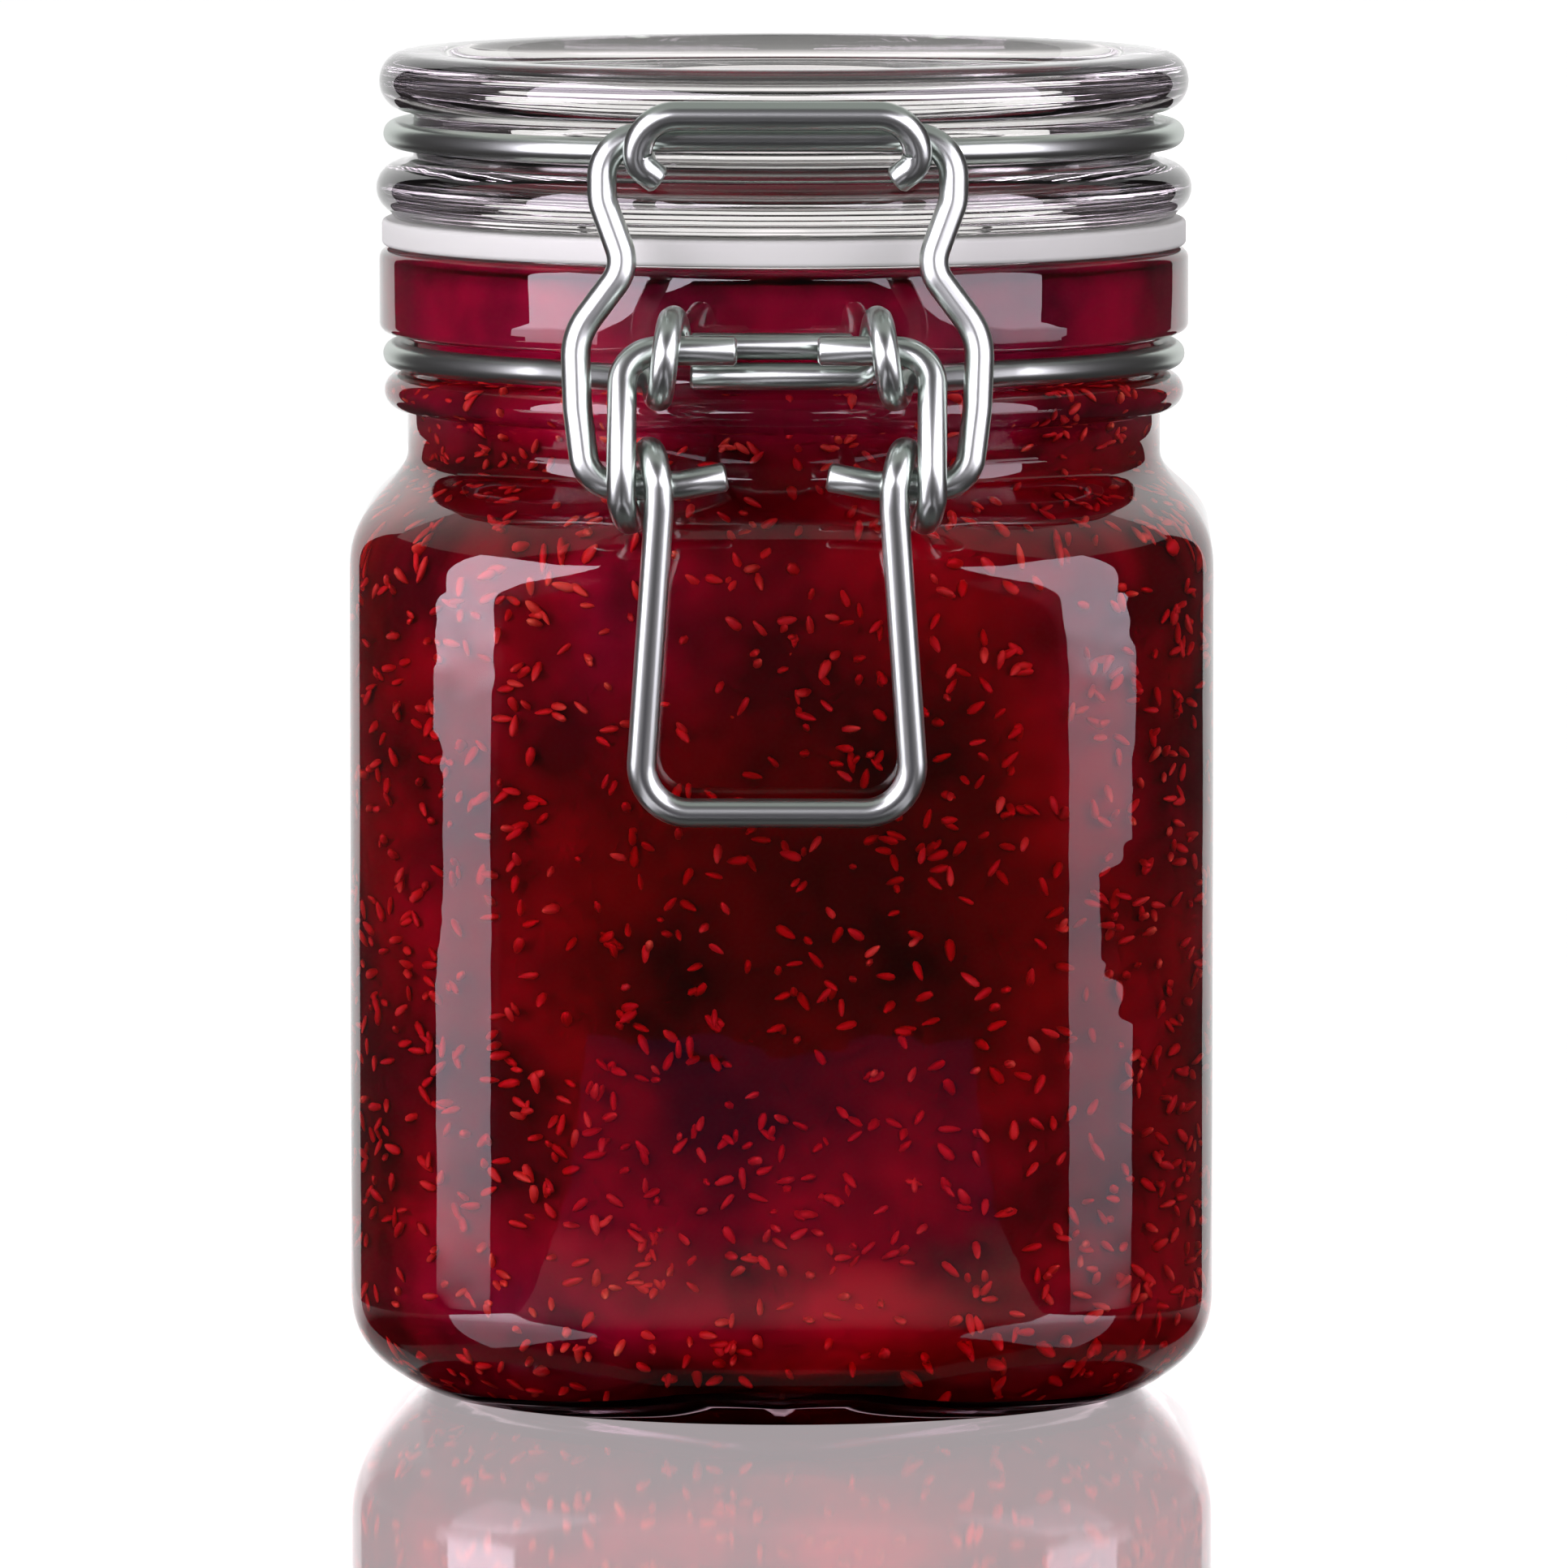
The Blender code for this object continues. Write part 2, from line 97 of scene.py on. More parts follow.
def blank(name):
    """A material that uses nodes, with no nodes in it yet."""
    material = bpy.data.materials.new(name)
    material.use_nodes = True
    material.node_tree.nodes.clear()
    return material


def add(material, kind, settings=None, links=None):
    """Adds one node to a material, with its settings and the sockets that feed it."""
    tree = material.node_tree
    node = tree.nodes.new(kind)
    for name, value in (settings or {}).items():
        if isinstance(name, int) or name in node.inputs:
            node.inputs[name].default_value = value
        else:
            setattr(node, name, value)
    for name, socket in (links or {}).items():
        tree.links.new(socket, node.inputs[name])
    return node


def between(low, high, share):
    """The value at a share of the way from low to high."""
    return low + (high - low) * share


def steps(count, low=0.0, high=1.0):
    """Values from low to high in even steps, both ends with them."""
    return [between(low, high, i / count) for i in range(count + 1)]


def ease(share):
    """A share of the way that starts and ends softly."""
    return 0.5 - 0.5 * math.cos(math.pi * share)


def wall_ring(half_width, corner_radius, z):
    """A level ring of points in the wall: a rounded square, or a circle where the sizes match."""
    turn = (np.arange(SIDES) + 0.5) * 2 * math.pi / SIDES
    offset = half_width - corner_radius
    x = np.copysign(offset, np.cos(turn)) + corner_radius * np.cos(turn)
    y = np.copysign(offset, np.sin(turn)) + corner_radius * np.sin(turn)
    return np.stack([x, y, np.full(SIDES, z)], axis=1)


def skin(rings, ends):
    """Points and faces of a closed skin through rings of points, closed by its two end points, or
    in a loop where there are none."""
    points = np.concatenate(rings)
    faces = []
    pairs = list(zip(range(len(rings)), range(1, len(rings))))
    if not ends:
        pairs.append((len(rings) - 1, 0))
    for low, high in pairs:
        for i in range(SIDES):
            j = (i + 1) % SIDES
            faces.append((low * SIDES + i, low * SIDES + j, high * SIDES + j, high * SIDES + i))
    if ends:
        points = np.concatenate([points, np.array(ends)])
        first = len(rings) * SIDES
        top = (len(rings) - 1) * SIDES
        for i in range(SIDES):
            j = (i + 1) % SIDES
            faces.append((first, j, i))
            faces.append((first + 1, top + i, top + j))
    return points, faces


def place(name, points, faces, finishes, body, solids, slot, face_finish=None):
    """Makes a piece from points in millimetres. It rides on a body and stands for its solids."""
    mesh = bpy.data.meshes.new(name)
    mesh.from_pydata((np.asarray(points) * MM).tolist(), [], faces)
    for finish in finishes:
        mesh.materials.append(finish)
    if face_finish is not None:
        mesh.polygons.foreach_set("material_index", face_finish)
    mesh.shade_smooth()
    mesh.update()
    obj = bpy.data.objects.new(name, mesh)
    bpy.context.scene.collection.objects.link(obj)
    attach(obj, body)
    if solids:
        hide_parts(*solids)
    return obj


def shoulder_profile(neck, half_width, corner, low_z, high_z, count):
    """The wall's sizes up the shoulder, from the square body in to the round neck."""
    rows = []
    for u in steps(count):
        share = 1 - ease(u**SHOULDER_FULLNESS)
        sizes = between(neck, half_width, share), between(neck, corner, share)
        rows.append((*sizes, between(low_z, high_z, u)))
    return rows


def heel_profile(foot, half_width, corner, low_z, high_z, count):
    """The wall's sizes up the heel, from the round foot out to the square body."""
    rows = []
    for v in steps(count):
        u = v * v
        share = 1 - (1 - u) ** HEEL_FULLNESS
        sizes = between(foot, half_width, share), between(foot, corner, share)
        rows.append((*sizes, between(low_z, high_z, u)))
    return rows


def bead_profile(core, radius, middle_z, half_height, count, low=-90, high=90):
    """A bead round the glass, from its low to its high angle."""
    rows = []
    for degrees in steps(count, low, high):
        a = math.radians(degrees)
        r = core + (radius - core) * math.cos(a)
        rows.append((r, r, middle_z + half_height * math.sin(a)))
    return rows


def edge_profile(radius, z, fillet, start, count=5):
    """A rounded edge of the glass: a quarter turn that starts at an angle, 0 pointing outward."""
    rows = []
    for degrees in steps(count, start, start + 90):
        a = math.radians(degrees)
        r = radius + fillet * math.cos(a)
        rows.append((r, r, z + fillet * math.sin(a)))
    return rows


def cavity_profile(into_wall, count):
    """The jar's inner wall from its floor up to the neck, moved into the wall by a distance."""
    width = BODY_HALF_WIDTH - WALL + into_wall
    corner = BODY_CORNER_RADIUS - WALL + into_wall
    floor_z = FLOOR_Z - into_wall
    rows = heel_profile(
        FLOOR_RADIUS + into_wall, width, corner, floor_z, floor_z + INNER_HEEL_HEIGHT, count
    )
    return rows + shoulder_profile(
        MOUTH_RADIUS + into_wall,
        width,
        corner,
        INNER_SHOULDER_LOW_Z + into_wall,
        INNER_SHOULDER_HIGH_Z + into_wall,
        count,
    )


def pressed_glass(name, bending, tint="#FBFDFC"):
    """Pressed soda-lime glass, clear and fire polished. It has a faint tint and the slow waviness
    that the mould leaves, which bends what is seen in it."""
    material = blank(name)
    place_in_glass = add(material, "ShaderNodeTexCoord")
    waves_mm = 14.0
    waves = add(
        material,
        "ShaderNodeTexNoise",
        {"Scale": 1 / (waves_mm * MM), "Detail": 2.0, "Roughness": 0.45},
        {"Vector": place_in_glass.outputs["Object"]},
    )
    ripple = add(
        material,
        "ShaderNodeBump",
        {"Strength": 0.10, "Distance": 1.0 * MM},
        {"Height": waves.outputs["Fac"]},
    )
    glass = add(
        material,
        "ShaderNodeBsdfPrincipled",
        {
            "Base Color": tone(tint),
            "Roughness": 0.0,
            "IOR": bending,
            "Transmission Weight": 1.0,
        },
        {"Normal": ripple.outputs["Normal"]},
    )
    add(material, "ShaderNodeOutputMaterial", None, {"Surface": glass.outputs["BSDF"]})
    return material


punt_edge = FOOT_RADIUS - FOOT_RING_WIDTH
punt_top = punt_edge - FOOT_RING_WIDTH
outer_rows = [(r, r, PUNT_DEPTH) for r in (punt_top * 0.5, punt_top)]
for u in steps(8)[1:]:
    r = between(punt_top, punt_edge, u)
    outer_rows.append((r, r, PUNT_DEPTH * (1 - ease(u))))
outer_rows += heel_profile(FOOT_RADIUS, BODY_HALF_WIDTH, BODY_CORNER_RADIUS, 0.0, HEEL_HEIGHT, 28)
outer_rows += shoulder_profile(
    NECK_RADIUS, BODY_HALF_WIDTH, BODY_CORNER_RADIUS, SHOULDER_LOW_Z, SHOULDER_HIGH_Z, 30
)
outer_rows += bead_profile(
    NECK_RADIUS, LOWER_BEAD_RADIUS, LOWER_BEAD_Z, LOWER_BEAD_HALF_HEIGHT, 16
)
groove_low_z = LOWER_BEAD_Z + LOWER_BEAD_HALF_HEIGHT + GROOVE_CHAMFER
groove_high_z = COLLAR_LOW_Z - 2 * GROOVE_CHAMFER
outer_rows += [(GROOVE_RADIUS, GROOVE_RADIUS, z) for z in (groove_low_z, groove_high_z)]
outer_rows += edge_profile(
    COLLAR_RADIUS - COLLAR_LOW_EDGE, COLLAR_LOW_Z + COLLAR_LOW_EDGE, COLLAR_LOW_EDGE, -90
)
outer_rows += edge_profile(
    COLLAR_RADIUS - COLLAR_HIGH_EDGE, RIM_Z - COLLAR_HIGH_EDGE, COLLAR_HIGH_EDGE, 0
)
outer_rows += edge_profile(MOUTH_RADIUS + MOUTH_EDGE, RIM_Z - MOUTH_EDGE, MOUTH_EDGE, 90)
inner_rows = [(MOUTH_RADIUS, MOUTH_RADIUS, LID_PLUG_Z)]
inner_rows += reversed(cavity_profile(0.0, 20))
jar_points, jar_faces = skin(
    [wall_ring(*row) for row in outer_rows + inner_rows], [(0, 0, PUNT_DEPTH), (0, 0, FLOOR_Z)]
)
first_wetted_point = len(outer_rows) * SIDES
floor_edge_z = FLOOR_Z + 0.8
shoulder_from_z = SHOULDER_LOW_Z - 3.0
jar_face_finish = []
for face in jar_faces:
    wetted = min(face) >= first_wetted_point
    under_floor = max(jar_points[k][2] for k in face) < floor_edge_z
    at_shoulder = min(jar_points[k][2] for k in face) > shoulder_from_z
    jar_face_finish.append(0 if not wetted else 2 if under_floor else 3 if at_shoulder else 1)
place(
    "jar_body_glass",
    jar_points,
    jar_faces,
    [
        pressed_glass("clear_pressed_glass", GLASS_INDEX),
        pressed_glass("glass_wetted_by_jam", WALL_ON_JAM_INDEX),
        pressed_glass("glass_under_jam", FLOOR_ON_JAM_INDEX),
        pressed_glass("glass_over_jam", SHOULDER_ON_JAM_INDEX),
    ],
    "jar",
    ["jar_glass"],
    "clear_glass",
    jar_face_finish,
)


# ------------------------------------------------------------------------------------------------
# The jam. Boiled berries set with sugar: a clear dark red jelly that fills the jar to the lid, with
# a cloudy mass of fruit behind it and pale seeds hanging at all depths. It lies against the glass,
# so it reaches just into the wall.

JAM_INTO_WALL = 0.12
JAM_TOP_EDGE = 0.6
JELLY_LEAST = 2.2
JELLY_MOST = 5.2
JELLY_MIDDLE = 8.0
LUMP = 15.0
SMALL_LUMP = 6.0
# (x, z, half width, half height) of the jelly's deepest place and of berries close to the glass
DEEPEST_JELLY = (3.0, 60.0, 24.0, 20.0)
HIGH_BERRY = (-19.0, 90.0, 7.0, 16.0)
LOW_BERRY = (-30.0, 12.0, 14.0, 8.0)
# the point round which the fruit's colour is darkened, a painted shade
PAINTED_SHADE_POINT = (2.0 * MM, -38.0 * MM, 55.0 * MM)
FRUIT_FIRST_RING = 4
SEED_LENGTH = 2.35
SEED_WIDTH = 1.1
SEED_THICKNESS = 0.8
SEED_COUNT = 3900
SEED_SMALLEST = 0.8
SEED_SPREAD = 0.35
SEED_SHALLOWEST = 1.3
SEED_DEEPEST = 5.0
SEED_HIGHEST_Z = 118.0
chance = random.Random(7)


def jelly(name, against_glass):
    """Set jelly: clear and deep red, so that what hangs in it reddens and darkens with depth."""
    material = blank(name)
    if against_glass:
        surface = add(material, "ShaderNodeBsdfTransparent")
    else:
        clear = add(material, "ShaderNodeBsdfTransparent")
        shine = add(
            material, "ShaderNodeBsdfGlossy", {"Color": tone("#FFFFFF"), "Roughness": 0.04}
        )
        share = add(material, "ShaderNodeFresnel", {"IOR": 1.3})
        surface = add(
            material,
            "ShaderNodeMixShader",
            None,
            {0: share.outputs["Fac"], 1: clear.outputs["BSDF"], 2: shine.outputs["BSDF"]},
        )
    depth = add(
        material, "ShaderNodeVolumeAbsorption", {"Color": tone("#F414A8"), "Density": 620.0}
    )
    add(
        material,
        "ShaderNodeOutputMaterial",
        None,
        {"Surface": surface.outputs[0], "Volume": depth.outputs["Volume"]},
    )
    return material


def fruit_mass(name):
    """Cooked fruit: soft, cloudy and dark red, paler where berries lie near the glass. Its colour
    holds painted light and painted shade: it is lightened toward the floor, and darkened round a
    point in the middle of the jar's front."""
    material = blank(name)
    where = add(material, "ShaderNodeTexCoord")
    berries_mm = 16.0
    berries = add(
        material,
        "ShaderNodeTexNoise",
        {"Scale": 1 / (berries_mm * MM), "Detail": 3.0, "Roughness": 0.5},
        {"Vector": where.outputs["Object"]},
    )
    shade = add(material, "ShaderNodeValToRGB", None, {"Fac": berries.outputs["Fac"]})
    shade.color_ramp.elements[0].position = 0.35
    shade.color_ramp.elements[0].color = tone("#560528")
    shade.color_ramp.elements[1].position = 0.68
    shade.color_ramp.elements[1].color = tone("#B0124E")
    # painted shade: the fruit's colour is darkened near a point in the middle of the jar's front
    to_painted_shade = add(
        material,
        "ShaderNodeVectorMath",
        {"operation": "DISTANCE", 1: PAINTED_SHADE_POINT},
        {0: where.outputs["Object"]},
    )
    light = add(
        material,
        "ShaderNodeMapRange",
        {"From Min": 0.010, "From Max": 0.028, "To Min": 0.5, "To Max": 1.0},
        {"Value": to_painted_shade.outputs["Value"]},
    )
    axes = add(material, "ShaderNodeSeparateXYZ", None, {"Vector": where.outputs["Object"]})
    # painted light: the fruit's colour is lightened toward the floor
    painted_floor_light = add(
        material,
        "ShaderNodeMapRange",
        {"From Min": 0.028, "From Max": 0.010, "To Min": 1.0, "To Max": 1.4},
        {"Value": axes.outputs["Z"]},
    )
    # the painted light near the floor and the painted shade in the middle, together
    painted_light_and_shade = add(
        material,
        "ShaderNodeMath",
        {"operation": "MULTIPLY"},
        {0: light.outputs["Result"], 1: painted_floor_light.outputs["Result"]},
    )
    darkened = add(
        material,
        "ShaderNodeVectorMath",
        {"operation": "SCALE"},
        {0: shade.outputs["Color"], "Scale": painted_light_and_shade.outputs["Value"]},
    )
    flesh = add(
        material,
        "ShaderNodeBsdfPrincipled",
        {"Roughness": 0.6, "IOR": 1.4, "Specular IOR Level": 0.1},
        {"Base Color": darkened.outputs["Vector"]},
    )
    add(material, "ShaderNodeOutputMaterial", None, {"Surface": flesh.outputs["BSDF"]})
    return material


def seed_coat(name):
    """A berry seed's coat: pale, hard and lightly pitted, with a dull sheen."""
    material = blank(name)
    where = add(material, "ShaderNodeTexCoord")
    patch_mm = 6.0
    patches = add(
        material,
        "ShaderNodeTexNoise",
        {"Scale": 1 / (patch_mm * MM), "Detail": 1.0},
        {"Vector": where.outputs["Object"]},
    )
    shade = add(material, "ShaderNodeValToRGB", None, {"Fac": patches.outputs["Fac"]})
    shade.color_ramp.elements[0].position = 0.38
    shade.color_ramp.elements[0].color = tone("#D2302C")
    shade.color_ramp.elements[1].position = 0.66
    shade.color_ramp.elements[1].color = tone("#E87A48")
    coat = add(
        material,
        "ShaderNodeBsdfPrincipled",
        {"Roughness": 0.5, "IOR": 1.45},
        {"Base Color": shade.outputs["Color"]},
    )
    add(material, "ShaderNodeOutputMaterial", None, {"Surface": coat.outputs["BSDF"]})
    return material


def jam_rows(into_wall, wall_count):
    """The jam's sizes from its floor up to its level in the neck, close enough for its lumps."""
    rows = cavity_profile(into_wall, 20)
    straight_low = rows[20]
    straight_high = rows[21]
    wall_heights = steps(wall_count, straight_low[2], straight_high[2])[1:-1]
    straight = [(straight_low[0], straight_low[1], z) for z in wall_heights]
    neck = MOUTH_RADIUS + into_wall
    top = [(neck, neck, z) for z in steps(8, rows[-1][2], LID_PLUG_Z - JAM_TOP_EDGE)[1:]]
    top.append((neck, neck, LID_PLUG_Z + into_wall))
    return rows[:21] + straight + rows[21:] + top


jam_rings = [wall_ring(*row) for row in jam_rows(JAM_INTO_WALL, 30)]
jam_points, jam_faces = skin(
    jam_rings, [(0, 0, FLOOR_Z - JAM_INTO_WALL), (0, 0, LID_PLUG_Z + JAM_INTO_WALL)]
)
jam_face_finish = [int(len(face) == 3 and face[0] == len(jam_points) - 1) for face in jam_faces]
place(
    "jam_jelly",
    jam_points,
    jam_faces,
    [jelly("set_berry_jelly", True), jelly("open_jelly_surface", False)],
    "jar",
    ["jam"],
    "berry_jam",
    jam_face_finish,
)


def inward(rings):
    """For each point of a stack of rings, the direction into the jam."""
    stack = np.array(rings)
    along = np.roll(stack, -1, axis=1) - np.roll(stack, 1, axis=1)
    up = np.gradient(stack, axis=0)
    out = np.cross(along, up)
    return -out / np.linalg.norm(out, axis=2, keepdims=True)


def close_to(place_on_wall, point):
    """How close a point is to a place on the jar's front or back: 1 in its middle, 0 far off."""
    x, z, half_width, half_height = place_on_wall
    return math.exp(-(((point[0] - x) / half_width) ** 2) - ((point[2] - z) / half_height) ** 2)


def jelly_depth(point):
    """How deep the clear jelly is in front of the fruit at a point of the wall."""
    lump = 0.5 + 0.5 * noise.noise(Vector(point) / LUMP)
    small = 0.5 + 0.5 * noise.noise(Vector(point) / SMALL_LUMP + Vector((5.0, 0.0, 0.0)))
    share = min(1.0, max(0.0, 1.6 * (lump - 0.5) + 0.5 + 0.35 * (small - 0.5)))
    to_middle = close_to(DEEPEST_JELLY, point)
    to_berry = max(close_to(HIGH_BERRY, point), close_to(LOW_BERRY, point))
    depth = between(JELLY_LEAST, JELLY_MOST, share * (0.5 + 0.5 * to_middle))
    depth += JELLY_MIDDLE * to_middle
    near_neck = max(0.35, (120.0 - point[2]) / 14.0)
    near_floor = 0.85 + max(0.0, point[2] - 14.0) / 40.0
    return depth * min(1.0, near_neck, near_floor) * (1.0 - 0.6 * to_berry)


jam_inward = inward(jam_rings)
fruit_rings = []
for ring, directions in zip(jam_rings, jam_inward):
    depths = np.array([jelly_depth(point) for point in ring])
    fruit_rings.append(ring + directions * depths[:, None])
fruit_rings = fruit_rings[FRUIT_FIRST_RING:-1]
fruit_points, fruit_faces = skin(
    fruit_rings, [(0, 0, fruit_rings[0][:, 2].mean()), (0, 0, fruit_rings[-1][:, 2].mean())]
)
fruit_finish = fruit_mass("cooked_berries")
place("jam_fruit", fruit_points, fruit_faces, [fruit_finish], "jar", [], "berry_jam")


def seed_shape():
    """Points and faces of one seed, a drop a little flattened, lying along X."""
    rows, around = 5, 6
    points = [(-SEED_LENGTH / 2, 0.0, 0.0)]
    for row in range(1, rows):
        a = math.pi * row / rows
        width = math.sin(a) * (1 - 0.25 * math.cos(a))
        for k in range(around):
            b = 2 * math.pi * k / around
            points.append(
                (
                    -SEED_LENGTH / 2 * math.cos(a),
                    SEED_WIDTH / 2 * width * math.cos(b),
                    SEED_THICKNESS / 2 * width * math.sin(b),
                )
            )
    points.append((SEED_LENGTH / 2, 0.0, 0.0))
    faces = [(0, 1 + (k + 1) % around, 1 + k) for k in range(around)]
    for row in range(rows - 2):
        low = 1 + row * around
        for k in range(around):
            j = (k + 1) % around
            faces.append((low + k, low + j, low + around + j, low + around + k))
    last = len(points) - 1
    low = 1 + (rows - 2) * around
    faces += [(low + k, low + (k + 1) % around, last) for k in range(around)]
    return np.array(points), faces


def random_turn():
    """A random rotation, as a matrix."""
    q = np.array([chance.gauss(0, 1) for _ in range(4)])
    w, x, y, z = q / np.linalg.norm(q)
    return np.array(
        [
            [1 - 2 * (y * y + z * z), 2 * (x * y - z * w), 2 * (x * z + y * w)],
            [2 * (x * y + z * w), 1 - 2 * (x * x + z * z), 2 * (y * z - x * w)],
            [2 * (x * z - y * w), 2 * (y * z + x * w), 1 - 2 * (x * x + y * y)],
        ]
    )


def wall_places(count):
    """Random places, evenly over the jam's wall: a point and the direction into the jam."""
    stack = np.array(jam_rings)
    cells = np.linalg.norm(
        np.cross(
            np.roll(stack, -1, axis=1)[:-1] - stack[:-1],
            stack[1:] - stack[:-1],
        ),
        axis=2,
    )
    chosen = chance.choices(range(cells.size), weights=cells.ravel().tolist(), k=count)
    places = []
    for cell in chosen:
        row, side = divmod(cell, SIDES)
        other = (side + 1) % SIDES
        u, v = chance.random(), chance.random()
        low = between(stack[row, side], stack[row, other], u)
        high = between(stack[row + 1, side], stack[row + 1, other], u)
        places.append((between(low, high, v), jam_inward[row, side]))
    return places


seed_points, seed_faces = seed_shape()
all_points, all_faces = [], []
for spot, direction in wall_places(SEED_COUNT):
    if spot[2] > SEED_HIGHEST_Z:
        continue
    deepest = max(SEED_SHALLOWEST + 0.3, min(jelly_depth(spot) - 0.2, SEED_DEEPEST))
    depth = between(SEED_SHALLOWEST, deepest, chance.random() ** 0.8)
    grown = seed_points * (SEED_SMALLEST + SEED_SPREAD * chance.random())
    turned = grown @ random_turn().T
    base = len(all_points) * len(seed_points)
    all_points.append(turned + spot + direction * depth)
    all_faces += [tuple(base + k for k in face) for face in seed_faces]
place(
    "jam_seeds",
    np.concatenate(all_points),
    all_faces,
    [seed_coat("berry_seed_coat")],
    "jar",
    [],
    "berry_jam",
)


# ------------------------------------------------------------------------------------------------
# The neck wire. Bright drawn steel, bent in one length round the jar's groove. Its ends lie one
# over the other between the two front eyes, and two more eyes behind hold the lid's hinge.

BAND_WIRE = 3.05
NECK_WIRE_RADIUS = 44.25
NECK_WIRE_Z = 118.4
NECK_WIRE_LEAVE_DEG = 35.0
EYE_RADIUS = 4.43
EYE_Z = 121.1
FRONT_EYE_Y = -52.5
REAR_EYE_Y = 53.5
EYE_INNER_X = 9.9
EYE_MIDDLE_X = 11.0
EYE_OUTER_X = 13.8
EYE_LOW_ANGLE = -30.0
EYE_HIGH_ANGLE = 14.0
EYE_RING_ANGLE = -37.0
EYE_BEND = 1.7
HIGH_STRAND_END_X = 8.4
LOW_STRAND_END_X = -9.8
WIRE_SIDES = 28
WIRE_END_CHAMFER = 0.12


def drawn_steel(name):
    """Drawn steel wire with a bright plating: a clean grey mirror, dulled a little by drawing."""
    material = blank(name)
    steel = add(
        material,
        "ShaderNodeBsdfPrincipled",
        {"Base Color": tone("#B8C2BA"), "Metallic": 1.0, "Roughness": 0.28},
    )
    add(material, "ShaderNodeOutputMaterial", None, {"Surface": steel.outputs["BSDF"]})
    return material


def through(*corners):
    """A wire's corners from (x, y, z, bend radius)."""
    return [(np.array((x, y, z)), radius) for x, y, z, radius in corners]


def bend(corners, most_degrees=7.0):
    """The wire's middle line through (point, bend radius) corners. A radius of 0 keeps a corner."""
    line = [np.array(corners[0][0], float)]
    for before, (corner, radius), after in zip(corners, corners[1:], corners[2:]):
        corner = np.array(corner, float)
        if radius == 0:
            line.append(corner)
            continue
        into = corner - before[0]
        into = into / np.linalg.norm(into)
        away = after[0] - corner
        away = away / np.linalg.norm(away)
        turn = math.acos(max(-1.0, min(1.0, float(into @ away))))
        start = corner - into * radius * math.tan(turn / 2)
        side = away - into * (into @ away)
        side = side / np.linalg.norm(side)
        for angle in steps(max(2, math.ceil(math.degrees(turn) / most_degrees)), 0.0, turn):
            turned = side * radius * (1 - math.cos(angle))
            line.append(start + into * radius * math.sin(angle) + turned)
    line.append(np.array(corners[-1][0], float))
    return line


def mirror(half):
    """A whole wire from the half that starts in the plane X = 0."""
    other = [point * (-1, 1, 1) for point in reversed(half)]
    return other[:-1] + half


def draw(line, diameter):
    """Points and faces of a round wire along its middle line, its ends chamfered by the shears."""
    chamfer = WIRE_END_CHAMFER * diameter
    line = [p for p, q in zip(line, line[1:]) if np.linalg.norm(q - p) > 1e-3] + [line[-1]]
    line = np.array(line)
    run = np.gradient(line, axis=0)
    run[0], run[-1] = line[1] - line[0], line[-1] - line[-2]
    steps_in = line[1:] - line[:-1]
    units = steps_in / np.linalg.norm(steps_in, axis=1, keepdims=True)
    run[1:-1] = units[:-1] + units[1:]
    run /= np.linalg.norm(run, axis=1, keepdims=True)
    side = np.cross(run[0], (0.0, 0.3, 1.0))
    side /= np.linalg.norm(side)
    turn = np.arange(WIRE_SIDES) * 2 * math.pi / WIRE_SIDES
    rings = []
    for index, (point, forward) in enumerate(zip(line, run)):
        side = side - forward * (side @ forward)
        side /= np.linalg.norm(side)
        up = np.cross(forward, side)
        circle = np.outer(np.cos(turn), side) + np.outer(np.sin(turn), up)
        radius = diameter / 2
        if index == 0:
            rings.append(point + circle * (radius - chamfer))
            rings.append(point + forward * chamfer + circle * radius)
        elif index == len(line) - 1:
            rings.append(point - forward * chamfer + circle * radius)
            rings.append(point + circle * (radius - chamfer))
        else:
            rings.append(point + circle * radius)
    points = np.concatenate(rings)
    faces = []
    for low in range(len(rings) - 1):
        for i in range(WIRE_SIDES):
            j = (i + 1) % WIRE_SIDES
            faces.append(
                (
                    low * WIRE_SIDES + i,
                    low * WIRE_SIDES + j,
                    (low + 1) * WIRE_SIDES + j,
                    (low + 1) * WIRE_SIDES + i,
                )
            )
    last = (len(rings) - 1) * WIRE_SIDES
    faces.append(tuple(reversed(range(WIRE_SIDES))))
    faces.append(tuple(range(last, last + WIRE_SIDES)))
    return points, faces


def turn_point(y, z, toward_glass, radius, x, degrees):
    """A point of a circle about X; 0 degrees faces the glass and 90 degrees is up."""
    angle = math.radians(degrees)
    in_y = toward_glass * radius * math.cos(angle)
    return np.array((x, y + in_y, z + radius * math.sin(angle)))


def coil(y, z, toward_glass, radius, start, end, step=8.0):
    """Corners of a turn about X, from (x, degrees) to (x, degrees)."""
    corners = []
    for share in steps(math.ceil(abs(end[1] - start[1]) / step)):
        x = between(start[0], end[0], share)
        degrees = between(start[1], end[1], share)
        corners.append((turn_point(y, z, toward_glass, radius, x, degrees), 0.0))
    return corners


def eye(y, toward_glass, start, end):
    """One eye of the neck wire, entered and left by a bend."""
    corners = coil(y, EYE_Z, toward_glass, EYE_RADIUS, start, end, 22.5)
    return [(corners[0][0], EYE_BEND), *corners[1:-1], (corners[-1][0], EYE_BEND)]


def band(radius, z, from_deg, to_deg):
    """Corners of a level arc round the glass; 0 degrees is +X and 90 degrees is +Y."""
    corners = []
    for degrees in steps(math.ceil(abs(to_deg - from_deg) / 3.0), from_deg, to_deg):
        angle = math.radians(degrees)
        corners.append((np.array((radius * math.cos(angle), radius * math.sin(angle), z)), 0.0))
    return corners


